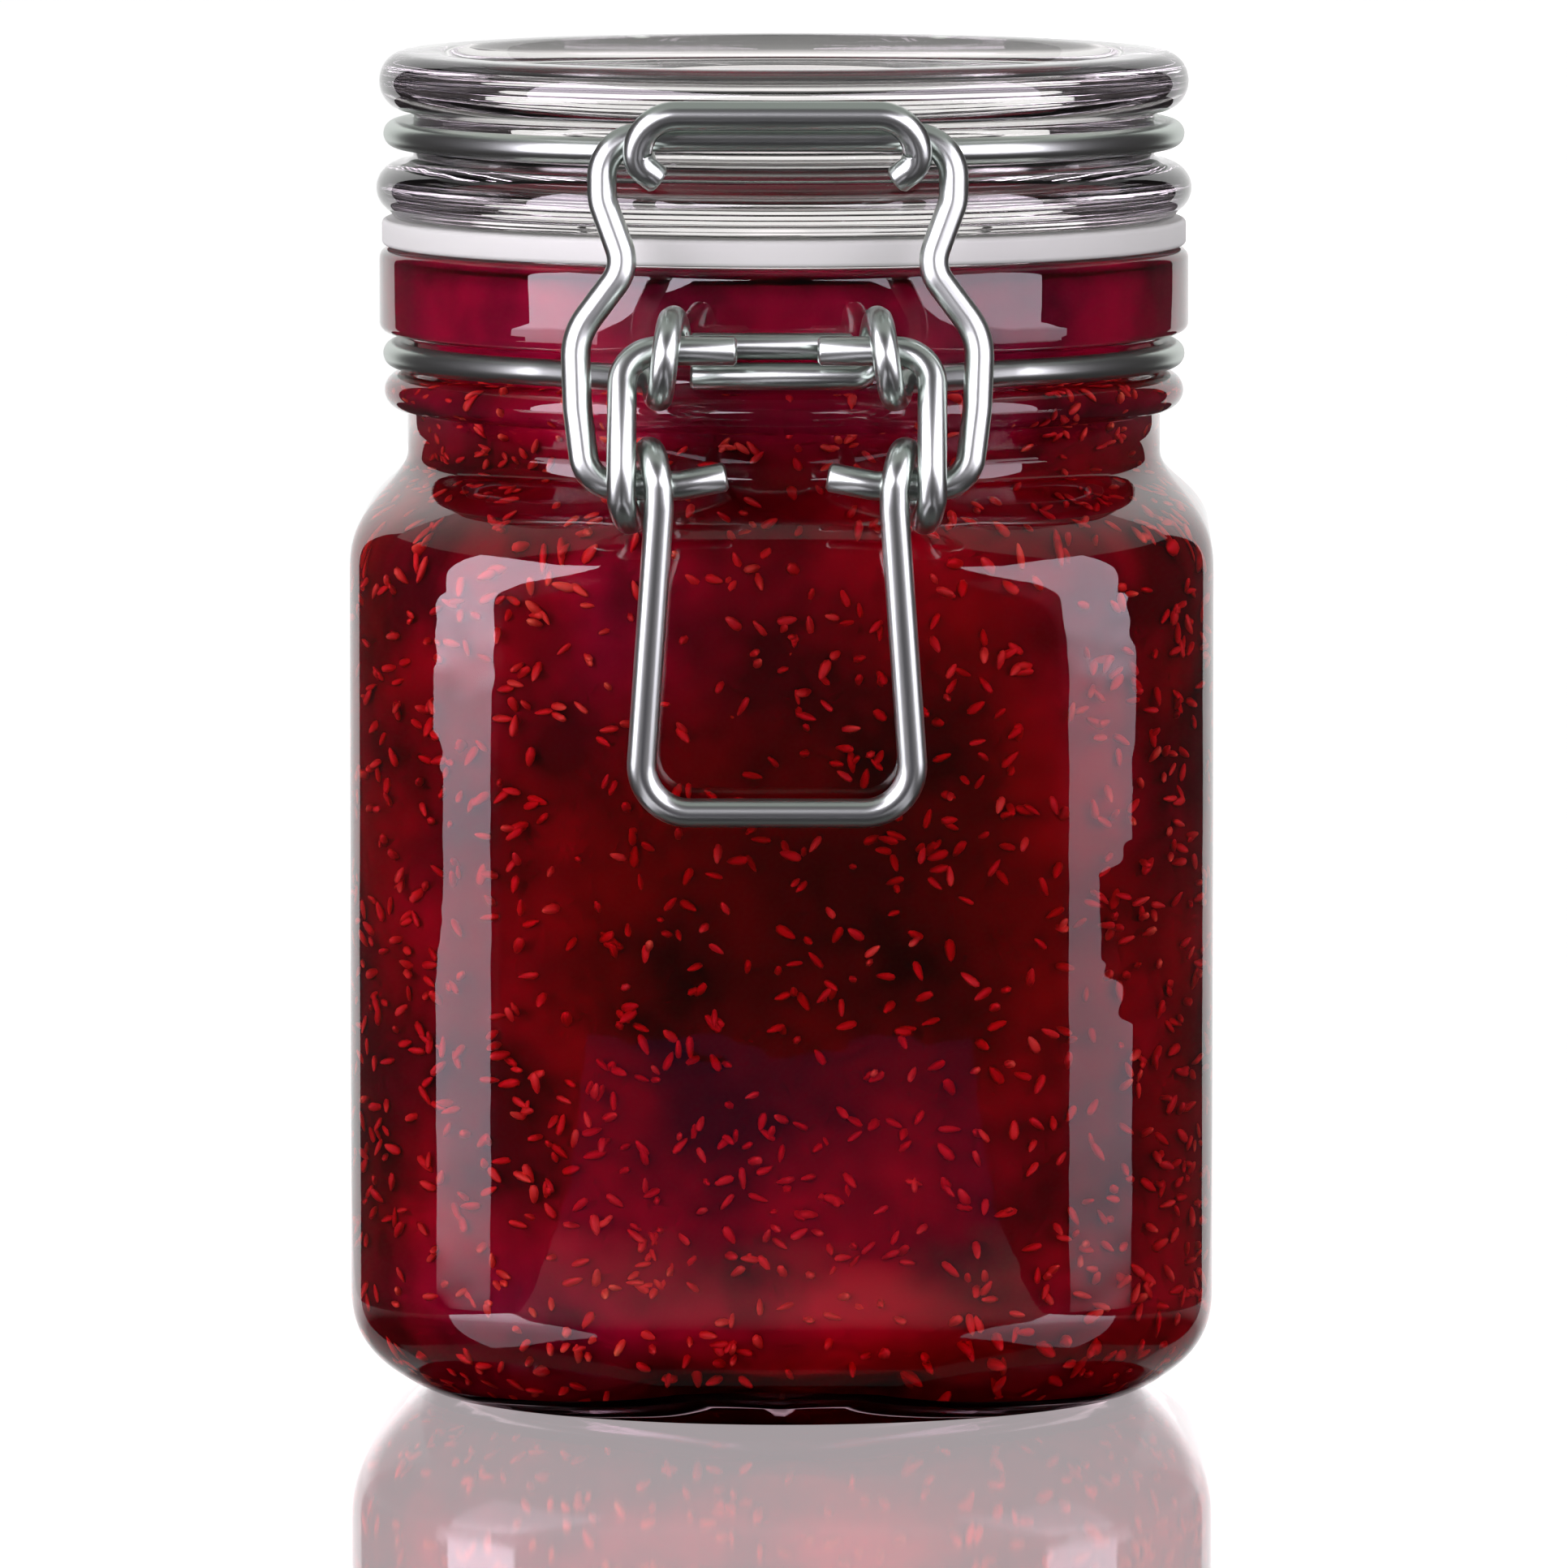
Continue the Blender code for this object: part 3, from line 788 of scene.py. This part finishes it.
wire_finish = drawn_steel("bright_drawn_steel")
ring_turn = 360 + EYE_RING_ANGLE
leave = NECK_WIRE_LEAVE_DEG
high_end = turn_point(FRONT_EYE_Y, EYE_Z, 1, EYE_RADIUS, HIGH_STRAND_END_X, EYE_HIGH_ANGLE)
low_end = turn_point(FRONT_EYE_Y, EYE_Z, 1, EYE_RADIUS, LOW_STRAND_END_X, EYE_LOW_ANGLE)
neck_corners = [(high_end, 0.0)]
neck_corners += eye(FRONT_EYE_Y, 1, (-EYE_MIDDLE_X, EYE_HIGH_ANGLE), (-EYE_OUTER_X, ring_turn))
neck_corners += band(NECK_WIRE_RADIUS, NECK_WIRE_Z, 270 - leave, 90 + leave)
neck_corners += eye(REAR_EYE_Y, -1, (-EYE_OUTER_X, ring_turn), (-EYE_INNER_X, EYE_LOW_ANGLE))
neck_corners += eye(REAR_EYE_Y, -1, (EYE_INNER_X, EYE_LOW_ANGLE), (EYE_OUTER_X, ring_turn))
neck_corners += band(NECK_WIRE_RADIUS, NECK_WIRE_Z, 90 - leave, leave - 90)
neck_corners += eye(FRONT_EYE_Y, 1, (EYE_OUTER_X, ring_turn), (EYE_INNER_X, EYE_LOW_ANGLE))
neck_corners.append((low_end, 0.0))
neck_skin = draw(bend(neck_corners), BAND_WIRE)
place("neck_band_wire", *neck_skin, [wire_finish], "jar", ["neck_wire"], "bright_wire")


# ------------------------------------------------------------------------------------------------
# The rubber ring. Moulded natural rubber filled white, flat with soft edges. It lies on the rim and
# seals the lid.

GASKET_BORE_RADIUS = 37.2
GASKET_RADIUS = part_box("gasket")[1].x / MM
GASKET_LOW_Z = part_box("gasket")[0].z / MM
GASKET_HIGH_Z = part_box("gasket")[1].z / MM
GASKET_EDGE = 0.55


def filled_rubber(name):
    """Rubber filled with chalk: pale cool grey, matt, and a little cloudy under the surface."""
    material = blank(name)
    rubber = add(
        material,
        "ShaderNodeBsdfPrincipled",
        {
            "Base Color": tone("#B3BAB0"),
            "Roughness": 0.55,
            "IOR": 1.5,
            "Subsurface Weight": 0.3,
            "Subsurface Radius": (0.002, 0.002, 0.002),
        },
    )
    add(material, "ShaderNodeOutputMaterial", None, {"Surface": rubber.outputs["BSDF"]})
    return material


gasket_in = GASKET_BORE_RADIUS + GASKET_EDGE
gasket_out = GASKET_RADIUS - GASKET_EDGE
gasket_low = GASKET_LOW_Z + GASKET_EDGE
gasket_high = GASKET_HIGH_Z - GASKET_EDGE
gasket_rows = edge_profile(gasket_out, gasket_low, GASKET_EDGE, -90)
gasket_rows += edge_profile(gasket_out, gasket_high, GASKET_EDGE, 0)
gasket_rows += edge_profile(gasket_in, gasket_high, GASKET_EDGE, 90)
gasket_rows += edge_profile(gasket_in, gasket_low, GASKET_EDGE, 180)
place(
    "rubber_ring",
    *skin([wall_ring(*row) for row in gasket_rows], None),
    [filled_rubber("chalk_filled_rubber")],
    "lid",
    ["gasket"],
    "pale_rubber",
)


# ------------------------------------------------------------------------------------------------
# The lid. Pressed glass like the jar: a bead over the rubber ring, a groove for its own wire, a
# thick rounded rim and a recessed top. A plug under it keeps it central in the mouth.

LID_SEAT_Z = GASKET_HIGH_Z + 0.3
LID_PLUG_RADIUS = 35.8
LID_SEAT_RADIUS = 44.6
LID_CORE_RADIUS = 43.2
LID_BEAD_Z = 137.3
LID_BEAD_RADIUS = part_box("lid_glass")[1].x / MM
LID_BEAD_HALF_HEIGHT = 3.1
LID_GROOVE_RADIUS = 42.3
LID_RIM_Z = 149.5
LID_RIM_RADIUS = 46.2
LID_RIM_HALF_HEIGHT = 3.3
LID_TOP_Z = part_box("lid_glass")[1].z / MM
LID_RECESS_DEPTH = 2.9
LID_PATCH_HEIGHT = 0.5
# (outer radius, inner radius) on the lid's top: its level edge, the slope down into the recess,
# the recess's floor, and the low step up to the plain patch in the middle
LID_TOP_EDGE = (42.0, 40.2)
LID_RECESS_SLOPE = (39.8, 34.6)
LID_RECESS_FLOOR = (32.9, 17.2)
LID_PATCH_SLOPE = (17.0, 15.8)
LID_PLUG_TAPER = 0.3
LID_PLUG_EDGE = 0.6
LID_ON_JAM_INDEX = 1.02

recess_z = LID_TOP_Z - LID_RECESS_DEPTH
plug_flat = LID_PLUG_RADIUS - LID_PLUG_EDGE
lid_rows = [(r, r, LID_PLUG_Z) for r in (LID_PLUG_RADIUS * 0.5, plug_flat)]
lid_rows += edge_profile(plug_flat, LID_PLUG_Z + LID_PLUG_EDGE, LID_PLUG_EDGE, -90)
lid_rows += [(r, r, LID_SEAT_Z) for r in (LID_PLUG_RADIUS + LID_PLUG_TAPER, LID_SEAT_RADIUS)]
lid_rows += bead_profile(
    LID_CORE_RADIUS, LID_BEAD_RADIUS, LID_BEAD_Z, LID_BEAD_HALF_HEIGHT, 18, -58, 90
)
lid_groove_low_z = LID_BEAD_Z + LID_BEAD_HALF_HEIGHT + GROOVE_CHAMFER
lid_groove_high_z = LID_RIM_Z - LID_RIM_HALF_HEIGHT - GROOVE_CHAMFER
lid_groove_heights = (lid_groove_low_z, lid_groove_high_z)
lid_rows += [(LID_GROOVE_RADIUS, LID_GROOVE_RADIUS, z) for z in lid_groove_heights]
lid_rows += bead_profile(LID_CORE_RADIUS, LID_RIM_RADIUS, LID_RIM_Z, LID_RIM_HALF_HEIGHT, 20)
lid_rows += [(r, r, LID_TOP_Z) for r in LID_TOP_EDGE]
for u in steps(10)[1:]:
    r = between(*LID_RECESS_SLOPE, u)
    lid_rows.append((r, r, between(LID_TOP_Z, recess_z, ease(u))))
lid_rows += [(r, r, recess_z) for r in LID_RECESS_FLOOR]
for u in steps(5)[1:]:
    r = between(*LID_PATCH_SLOPE, u)
    lid_rows.append((r, r, recess_z + LID_PATCH_HEIGHT * ease(u)))
lid_points, lid_faces = skin(
    [wall_ring(*row) for row in lid_rows], [(0, 0, LID_PLUG_Z), (0, 0, recess_z + LID_PATCH_HEIGHT)]
)
under_plug = [point[2] < LID_PLUG_Z + 0.01 for point in lid_points]
lid_face_finish = [int(all(under_plug[k] for k in face)) for face in lid_faces]
place(
    "lid_pressed_glass",
    lid_points,
    lid_faces,
    [
        pressed_glass("thick_pressed_glass", GLASS_INDEX, "#F0EEEC"),
        pressed_glass("lid_glass_on_jam", LID_ON_JAM_INDEX),
    ],
    "lid",
    ["lid_glass"],
    "clear_glass",
    lid_face_finish,
)


# ------------------------------------------------------------------------------------------------
# The lid wire and its catch. The same bright wire runs through both rear eyes, up two legs and
# round the lid's groove. Its two ends in front hold the catch, a lip of thicker wire.

LID_WIRE_RADIUS = 44.2
LID_WIRE_Z = 143.5
LID_WIRE_LEAVE_DEG = 28.0
LID_WIRE_FRONT_DEG = 25.5
LID_LEG_X = 17.3
LID_LEG_START_Y = 43.2
LID_LEG_TOP_Z = 139.6
PIN_Z = 121.95
PIN_END_X = 4.5
CATCH_WIRE = 3.3
CATCH_TOP_Z = 148.2
CATCH_Y = -53.3
CATCH_X = 15.6

lid_half = through(
    (0.0, REAR_EYE_Y, PIN_Z, 0.0),
    (LID_LEG_X, REAR_EYE_Y, PIN_Z, 4.0),
    (LID_LEG_X, REAR_EYE_Y, LID_LEG_TOP_Z, 3.0),
    (LID_LEG_X, LID_LEG_START_Y, LID_WIRE_Z, 2.6),
)
lid_half += band(LID_WIRE_RADIUS, LID_WIRE_Z, 90 - LID_WIRE_LEAVE_DEG, LID_WIRE_FRONT_DEG - 90)
# in front it turns off the glass and dips to its cut end in the catch's hook
lid_half += through(
    (15.5, -41.6, LID_WIRE_Z, 3.0), (14.9, -46.4, 141.95, 7.0), (14.6, -50.6, 141.8, 0.0)
)
lid_wire_skin = draw(mirror(bend(lid_half)), BAND_WIRE)
place("lid_band_wire", *lid_wire_skin, [wire_finish], "lid", ["lid_wire"], "bright_wire")

# the lip's middle and corner, the foot of its side, and its cut end
catch_half = through(
    (0.0, CATCH_Y, CATCH_TOP_Z, 0.0),
    (CATCH_X, CATCH_Y, CATCH_TOP_Z, 4.4),
    (CATCH_X, -52.0, 142.7, 2.5),
    (13.1, -51.6, 140.8, 0.0),
)
catch_skin = draw(mirror(bend(catch_half)), CATCH_WIRE)
place("catch_lip", *catch_skin, [wire_finish], "lid", ["catch"], "bright_wire")


# ------------------------------------------------------------------------------------------------
# The lever. Thicker bright wire: its pins turn in the front eyes, its legs run down to one turn
# round each end of the bail, and it ends in the handle that is pressed down against the glass.

LEVER_WIRE = 3.3
LEVER_LEG_X = 17.3
LEVER_BEND = 4.0
COIL_Y = -54.0
COIL_Z = 107.0
COIL_RADIUS = 3.8
COIL_INNER_X = 13.1
COIL_END_ANGLE = -162.0
COIL_LEAD = 2.4
HANDLE_BOTTOM_X = 15.5
HANDLE_BOTTOM_Y = -55.6
HANDLE_BOTTOM_Z = 70.5
HANDLE_CORNER = 5.4

coil_front_y = COIL_Y - COIL_RADIUS
lever_half = through(
    (0.0, HANDLE_BOTTOM_Y, HANDLE_BOTTOM_Z, 0.0),
    (HANDLE_BOTTOM_X, HANDLE_BOTTOM_Y, HANDLE_BOTTOM_Z, HANDLE_CORNER),
    (COIL_INNER_X, coil_front_y, COIL_Z - COIL_LEAD, 0.0),
)
lever_half += coil(
    COIL_Y, COIL_Z, 1, COIL_RADIUS, (COIL_INNER_X, 180), (LEVER_LEG_X, COIL_END_ANGLE)
)
lever_half += through(
    (LEVER_LEG_X, coil_front_y, COIL_Z + COIL_LEAD, 0.0),
    (LEVER_LEG_X, FRONT_EYE_Y, PIN_Z, LEVER_BEND),
    (PIN_END_X, FRONT_EYE_Y, PIN_Z, 0.0),
)
lever_skin = draw(mirror(bend(lever_half)), LEVER_WIRE)
place("closing_lever", *lever_skin, [wire_finish], "lever", ["lever"], "bright_wire")


# ------------------------------------------------------------------------------------------------
# The bail. A loop of the same wire: its bar pulls down on the catch, its sides bow in past the lid
# and out past the eyes, and its ends point in through the lever's coils.

BAIL_BAR_Y = -48.6
BAIL_BAR_Z = 145.6
BAIL_SIDE = (
    # (x, z, bend radius): the bar's middle and corner, in past the lid, out past the eye, the pin
    (0.0, BAIL_BAR_Z, 0.0),
    (19.7, BAIL_BAR_Z, 4.5),
    (19.6, 138.5, 4.5),
    (16.9, 131.2, 4.2),
    (22.6, 123.6, 7.0),
    (22.3, 115.6, 12.0),
    (21.2, COIL_Z, 3.8),
    (10.8, COIL_Z, 2.5),
    (5.6, COIL_Z + 1.0, 0.0),
)

bail_half = []
for x, z, radius in BAIL_SIDE:
    y = between(COIL_Y, BAIL_BAR_Y, (z - COIL_Z) / (BAIL_BAR_Z - COIL_Z))
    bail_half += through((x, y, z, radius))
bail_skin = draw(mirror(bend(bail_half)), LEVER_WIRE)
place("bail_loop", *bail_skin, [wire_finish], "bail", ["bail"], "bright_wire")


# ------------------------------------------------------------------------------------------------
# The table and the studio. A glossy board, a white screen behind it, two tall soft lamps beside the
# jar, a dim ceiling, and a dark room on the camera's side.

CAMERA_DISTANCE = 2.164
CAMERA_HEIGHT = 0.260
CAMERA_SWING_DEG = 0.8
SENSOR_MM = 36.0
FRAME_PX = 1932
FOCAL_PX = 23294
AIM_DOWN_PX = 2057.5


def lacquered_board(name):
    """White lacquered board. Seen at a low angle its polish mirrors what stands on it, and it glows
    with a pale painted sheen whose strength follows the angle it is seen at; seen steeply it is
    dull. Toward its front end that glow turns a violet dark, a painted shade."""
    material = blank(name)
    where = add(material, "ShaderNodeTexCoord")
    axes = add(material, "ShaderNodeSeparateXYZ", None, {"Vector": where.outputs["Object"]})
    # painted shade: toward the front end the board's glow darkens to violet
    painted_front_shade = add(
        material,
        "ShaderNodeMapRange",
        {"From Min": -0.225, "From Max": -0.168, "To Min": 0.0, "To Max": 1.0},
        {"Value": axes.outputs["Y"]},
    )
    seen_flat = add(material, "ShaderNodeLayerWeight", {"Blend": 0.5})
    # the share of a low view angle: it sets how strongly the board mirrors and how strongly its
    # painted sheen glows
    gloss_and_painted_sheen = add(
        material,
        "ShaderNodeMapRange",
        {"From Min": 0.70, "From Max": 0.86, "To Min": 0.0, "To Max": 1.0},
        {"Value": seen_flat.outputs["Facing"]},
    )
    # the colour of the painted sheen, a glow: violet dark at the front end as a painted shade, pale
    # further back
    glow = add(material, "ShaderNodeValToRGB", None, {"Fac": painted_front_shade.outputs["Result"]})
    glow.color_ramp.elements[0].color = tone("#3C2C62")
    glow.color_ramp.elements[1].color = tone("#A39B9E")
    mirror_share = add(material, "ShaderNodeValToRGB", None, {"Fac": gloss_and_painted_sheen.outputs["Result"]})
    mirror_share.color_ramp.elements[0].color = tone("#7A7A7A")
    mirror_share.color_ramp.elements[1].color = tone("#E7E7E7")
    board = add(
        material,
        "ShaderNodeBsdfPrincipled",
        {"Metallic": 1.0, "Roughness": 0.05},
        {
            "Base Color": mirror_share.outputs["Color"],
            "Emission Color": glow.outputs["Color"],
            "Emission Strength": gloss_and_painted_sheen.outputs["Result"],
        },
    )
    add(material, "ShaderNodeOutputMaterial", None, {"Surface": board.outputs["BSDF"]})
    return material


def lit_cloth(name, colour, radiance):
    """White cloth lit from behind, an even glow."""
    material = blank(name)
    glow = add(material, "ShaderNodeEmission", {"Color": tone(colour), "Strength": radiance})
    add(material, "ShaderNodeOutputMaterial", None, {"Surface": glow.outputs["Emission"]})
    return material


LAMP_FOOT_Z = -0.067
LAMP_FULL_Z = 0.045
# (share of the way from the lamp's foot to its full brightness, share of that brightness)
LAMP_FALL = ((0.08, 0.23), (0.14, 0.34), (0.28, 0.43), (0.65, 0.44), (0.88, 0.54), (0.93, 0.52))


def lamp_cloth(name, radiance):
    """The front of a soft lamp: white cloth, brightest above and fading out toward its foot."""
    material = blank(name)
    where = add(material, "ShaderNodeTexCoord")
    axes = add(material, "ShaderNodeSeparateXYZ", None, {"Vector": where.outputs["Object"]})
    up = add(
        material,
        "ShaderNodeMapRange",
        {"From Min": LAMP_FOOT_Z, "From Max": LAMP_FULL_Z},
        {"Value": axes.outputs["Z"]},
    )
    fall = add(material, "ShaderNodeValToRGB", None, {"Fac": up.outputs["Result"]})
    fall.color_ramp.elements[0].color = (0.0, 0.0, 0.0, 1.0)
    fall.color_ramp.elements[1].color = (1.0, 1.0, 1.0, 1.0)
    for position, share in LAMP_FALL:
        fall.color_ramp.elements.new(position).color = (share, share, share, 1.0)
    strength = add(
        material,
        "ShaderNodeMath",
        {"operation": "MULTIPLY", 1: radiance},
        {0: fall.outputs["Color"]},
    )
    glow = add(
        material,
        "ShaderNodeEmission",
        {"Color": tone("#FBEDFF")},
        {"Strength": strength.outputs["Value"]},
    )
    add(material, "ShaderNodeOutputMaterial", None, {"Surface": glow.outputs["Emission"]})
    return material


def stand_in_studio(name, points, faces, finish):
    """A sheet of the studio from points in metres."""
    mesh = bpy.data.meshes.new(name)
    mesh.from_pydata(points, [], faces)
    mesh.materials.append(finish)
    sheet = bpy.data.objects.new(name, mesh)
    bpy.context.scene.collection.objects.link(sheet)
    return sheet


def lay_level(name, half_width, front_y, back_y, z, finish):
    """A level sheet of the studio."""
    corners = [
        (-half_width, front_y, z),
        (half_width, front_y, z),
        (half_width, back_y, z),
        (-half_width, back_y, z),
    ]
    return stand_in_studio(name, corners, [(0, 1, 2, 3)], finish)


TABLE_HALF_WIDTH = 0.095
TABLE_FRONT_Y = -0.44
TABLE_BACK_Y = 4.2
board_finish = lacquered_board("white_lacquered_board")
lay_level("table", TABLE_HALF_WIDTH, TABLE_FRONT_Y, TABLE_BACK_Y, 0.0, board_finish)

CEILING_HALF_WIDTH = 1.6
CEILING_FRONT_Y = -0.9
CEILING_BACK_Y = 2.0
CEILING_Z = 1.6
ceiling = lay_level(
    "ceiling",
    CEILING_HALF_WIDTH,
    CEILING_FRONT_Y,
    CEILING_BACK_Y,
    CEILING_Z,
    lit_cloth("ceiling_cloth", "#FFFFFF", 0.45),
)
ceiling.visible_camera = False

SCREEN_RADIUS = 4.0
SCREEN_HALF_ANGLE = 34
SCREEN_LOW_Z = -0.8
SCREEN_HIGH_Z = 3.0
SCREEN_PANELS = 10
screen_points = []
for degrees in steps(SCREEN_PANELS, -SCREEN_HALF_ANGLE, SCREEN_HALF_ANGLE):
    a = math.radians(degrees)
    for z in (SCREEN_LOW_Z, SCREEN_HIGH_Z):
        screen_points.append((SCREEN_RADIUS * math.sin(a), SCREEN_RADIUS * math.cos(a), z))
stand_in_studio(
    "white_screen",
    screen_points,
    [(2 * i, 2 * i + 2, 2 * i + 3, 2 * i + 1) for i in range(SCREEN_PANELS)],
    lit_cloth("white_screen_cloth", "#FFFFFF", 1.02),
)


LAMP_AIM_Z = 0.08
LAMP_DISTANCE = 0.6
LEFT_LAMP_AZIMUTH = -62.0
LEFT_LAMP_RADIANCE = 8.6
LEFT_LAMP_OUTLINE = (
    (-53, -14), (-80, -14), (-80, -8.2), (-76, -7.4), (-76, -5.4), (-81, -5.0), (-81, -3.6),
    (-74, -2.5), (-76, 45), (-58, 42), (-28, 27), (-8, 19), (-9, 16), (-20, 10), (-36, 4),
    (-44, -1), (-52, -4),
)
RIGHT_LAMP_AZIMUTH = 64.0
RIGHT_LAMP_RADIANCE = 5.4
RIGHT_LAMP_OUTLINE = (
    (53, -14), (84, -14), (84, -8.9), (68, -8.5), (66, -6.9), (84, -6.4), (84, -5.4),
    (86, -5.0), (86, -3.6), (76, -2.5), (78, 45), (58, 42), (28, 27), (8, 19), (9, 16),
    (20, 10), (36, 4), (44, -1), (52, -4),
)


def soft_lamp(name, azimuth_deg, outline, radiance):
    """A soft lamp whose flat front faces the jar at an azimuth, 0 in front of the jar and 90 to its
    right. Its outline is the azimuths and heights, in degrees, at which the jar sees it."""
    a = math.radians(azimuth_deg)
    out = np.array((math.sin(a), -math.cos(a), 0.0))
    side = np.array((math.cos(a), math.sin(a), 0.0))
    points = []
    for seen_azimuth, seen_height in outline:
        off = math.radians(seen_azimuth - azimuth_deg)
        run = LAMP_DISTANCE / math.cos(off)
        height = LAMP_AIM_Z + run * math.tan(math.radians(seen_height))
        across = side * LAMP_DISTANCE * math.tan(off)
        points.append(tuple(out * LAMP_DISTANCE + across + (0, 0, height)))
    cloth = lamp_cloth(name + "_cloth", radiance)
    lamp = stand_in_studio(name, points, [tuple(range(len(points)))], cloth)
    lamp.visible_camera = False


soft_lamp("left_soft_lamp", LEFT_LAMP_AZIMUTH, LEFT_LAMP_OUTLINE, LEFT_LAMP_RADIANCE)
soft_lamp("right_soft_lamp", RIGHT_LAMP_AZIMUTH, RIGHT_LAMP_OUTLINE, RIGHT_LAMP_RADIANCE)

world = bpy.data.worlds.new("dark_studio")
world.use_nodes = True
world.node_tree.nodes["Background"].inputs["Color"].default_value = tone("#E6D6DC")
world.node_tree.nodes["Background"].inputs["Strength"].default_value = 0.05
scene = bpy.context.scene
scene.world = world
scene.view_settings.view_transform = "Standard"
scene.cycles.max_bounces = 24
scene.cycles.transmission_bounces = 20
scene.cycles.transparent_max_bounces = 32
scene.cycles.volume_bounces = 0

camera_data = bpy.data.cameras.new("studio_camera")
aim_down = math.atan(AIM_DOWN_PX / FOCAL_PX)
camera_data.lens = SENSOR_MM * FOCAL_PX / FRAME_PX / math.cos(aim_down)
camera_data.sensor_width = SENSOR_MM
camera_data.clip_end = 100.0
camera = bpy.data.objects.new("studio_camera", camera_data)
swing = math.radians(CAMERA_SWING_DEG)
camera.location = (
    CAMERA_DISTANCE * math.sin(swing),
    -CAMERA_DISTANCE * math.cos(swing),
    CAMERA_HEIGHT,
)
camera.rotation_euler = (math.pi / 2 - aim_down, 0, swing)
scene.collection.objects.link(camera)
scene.camera = camera
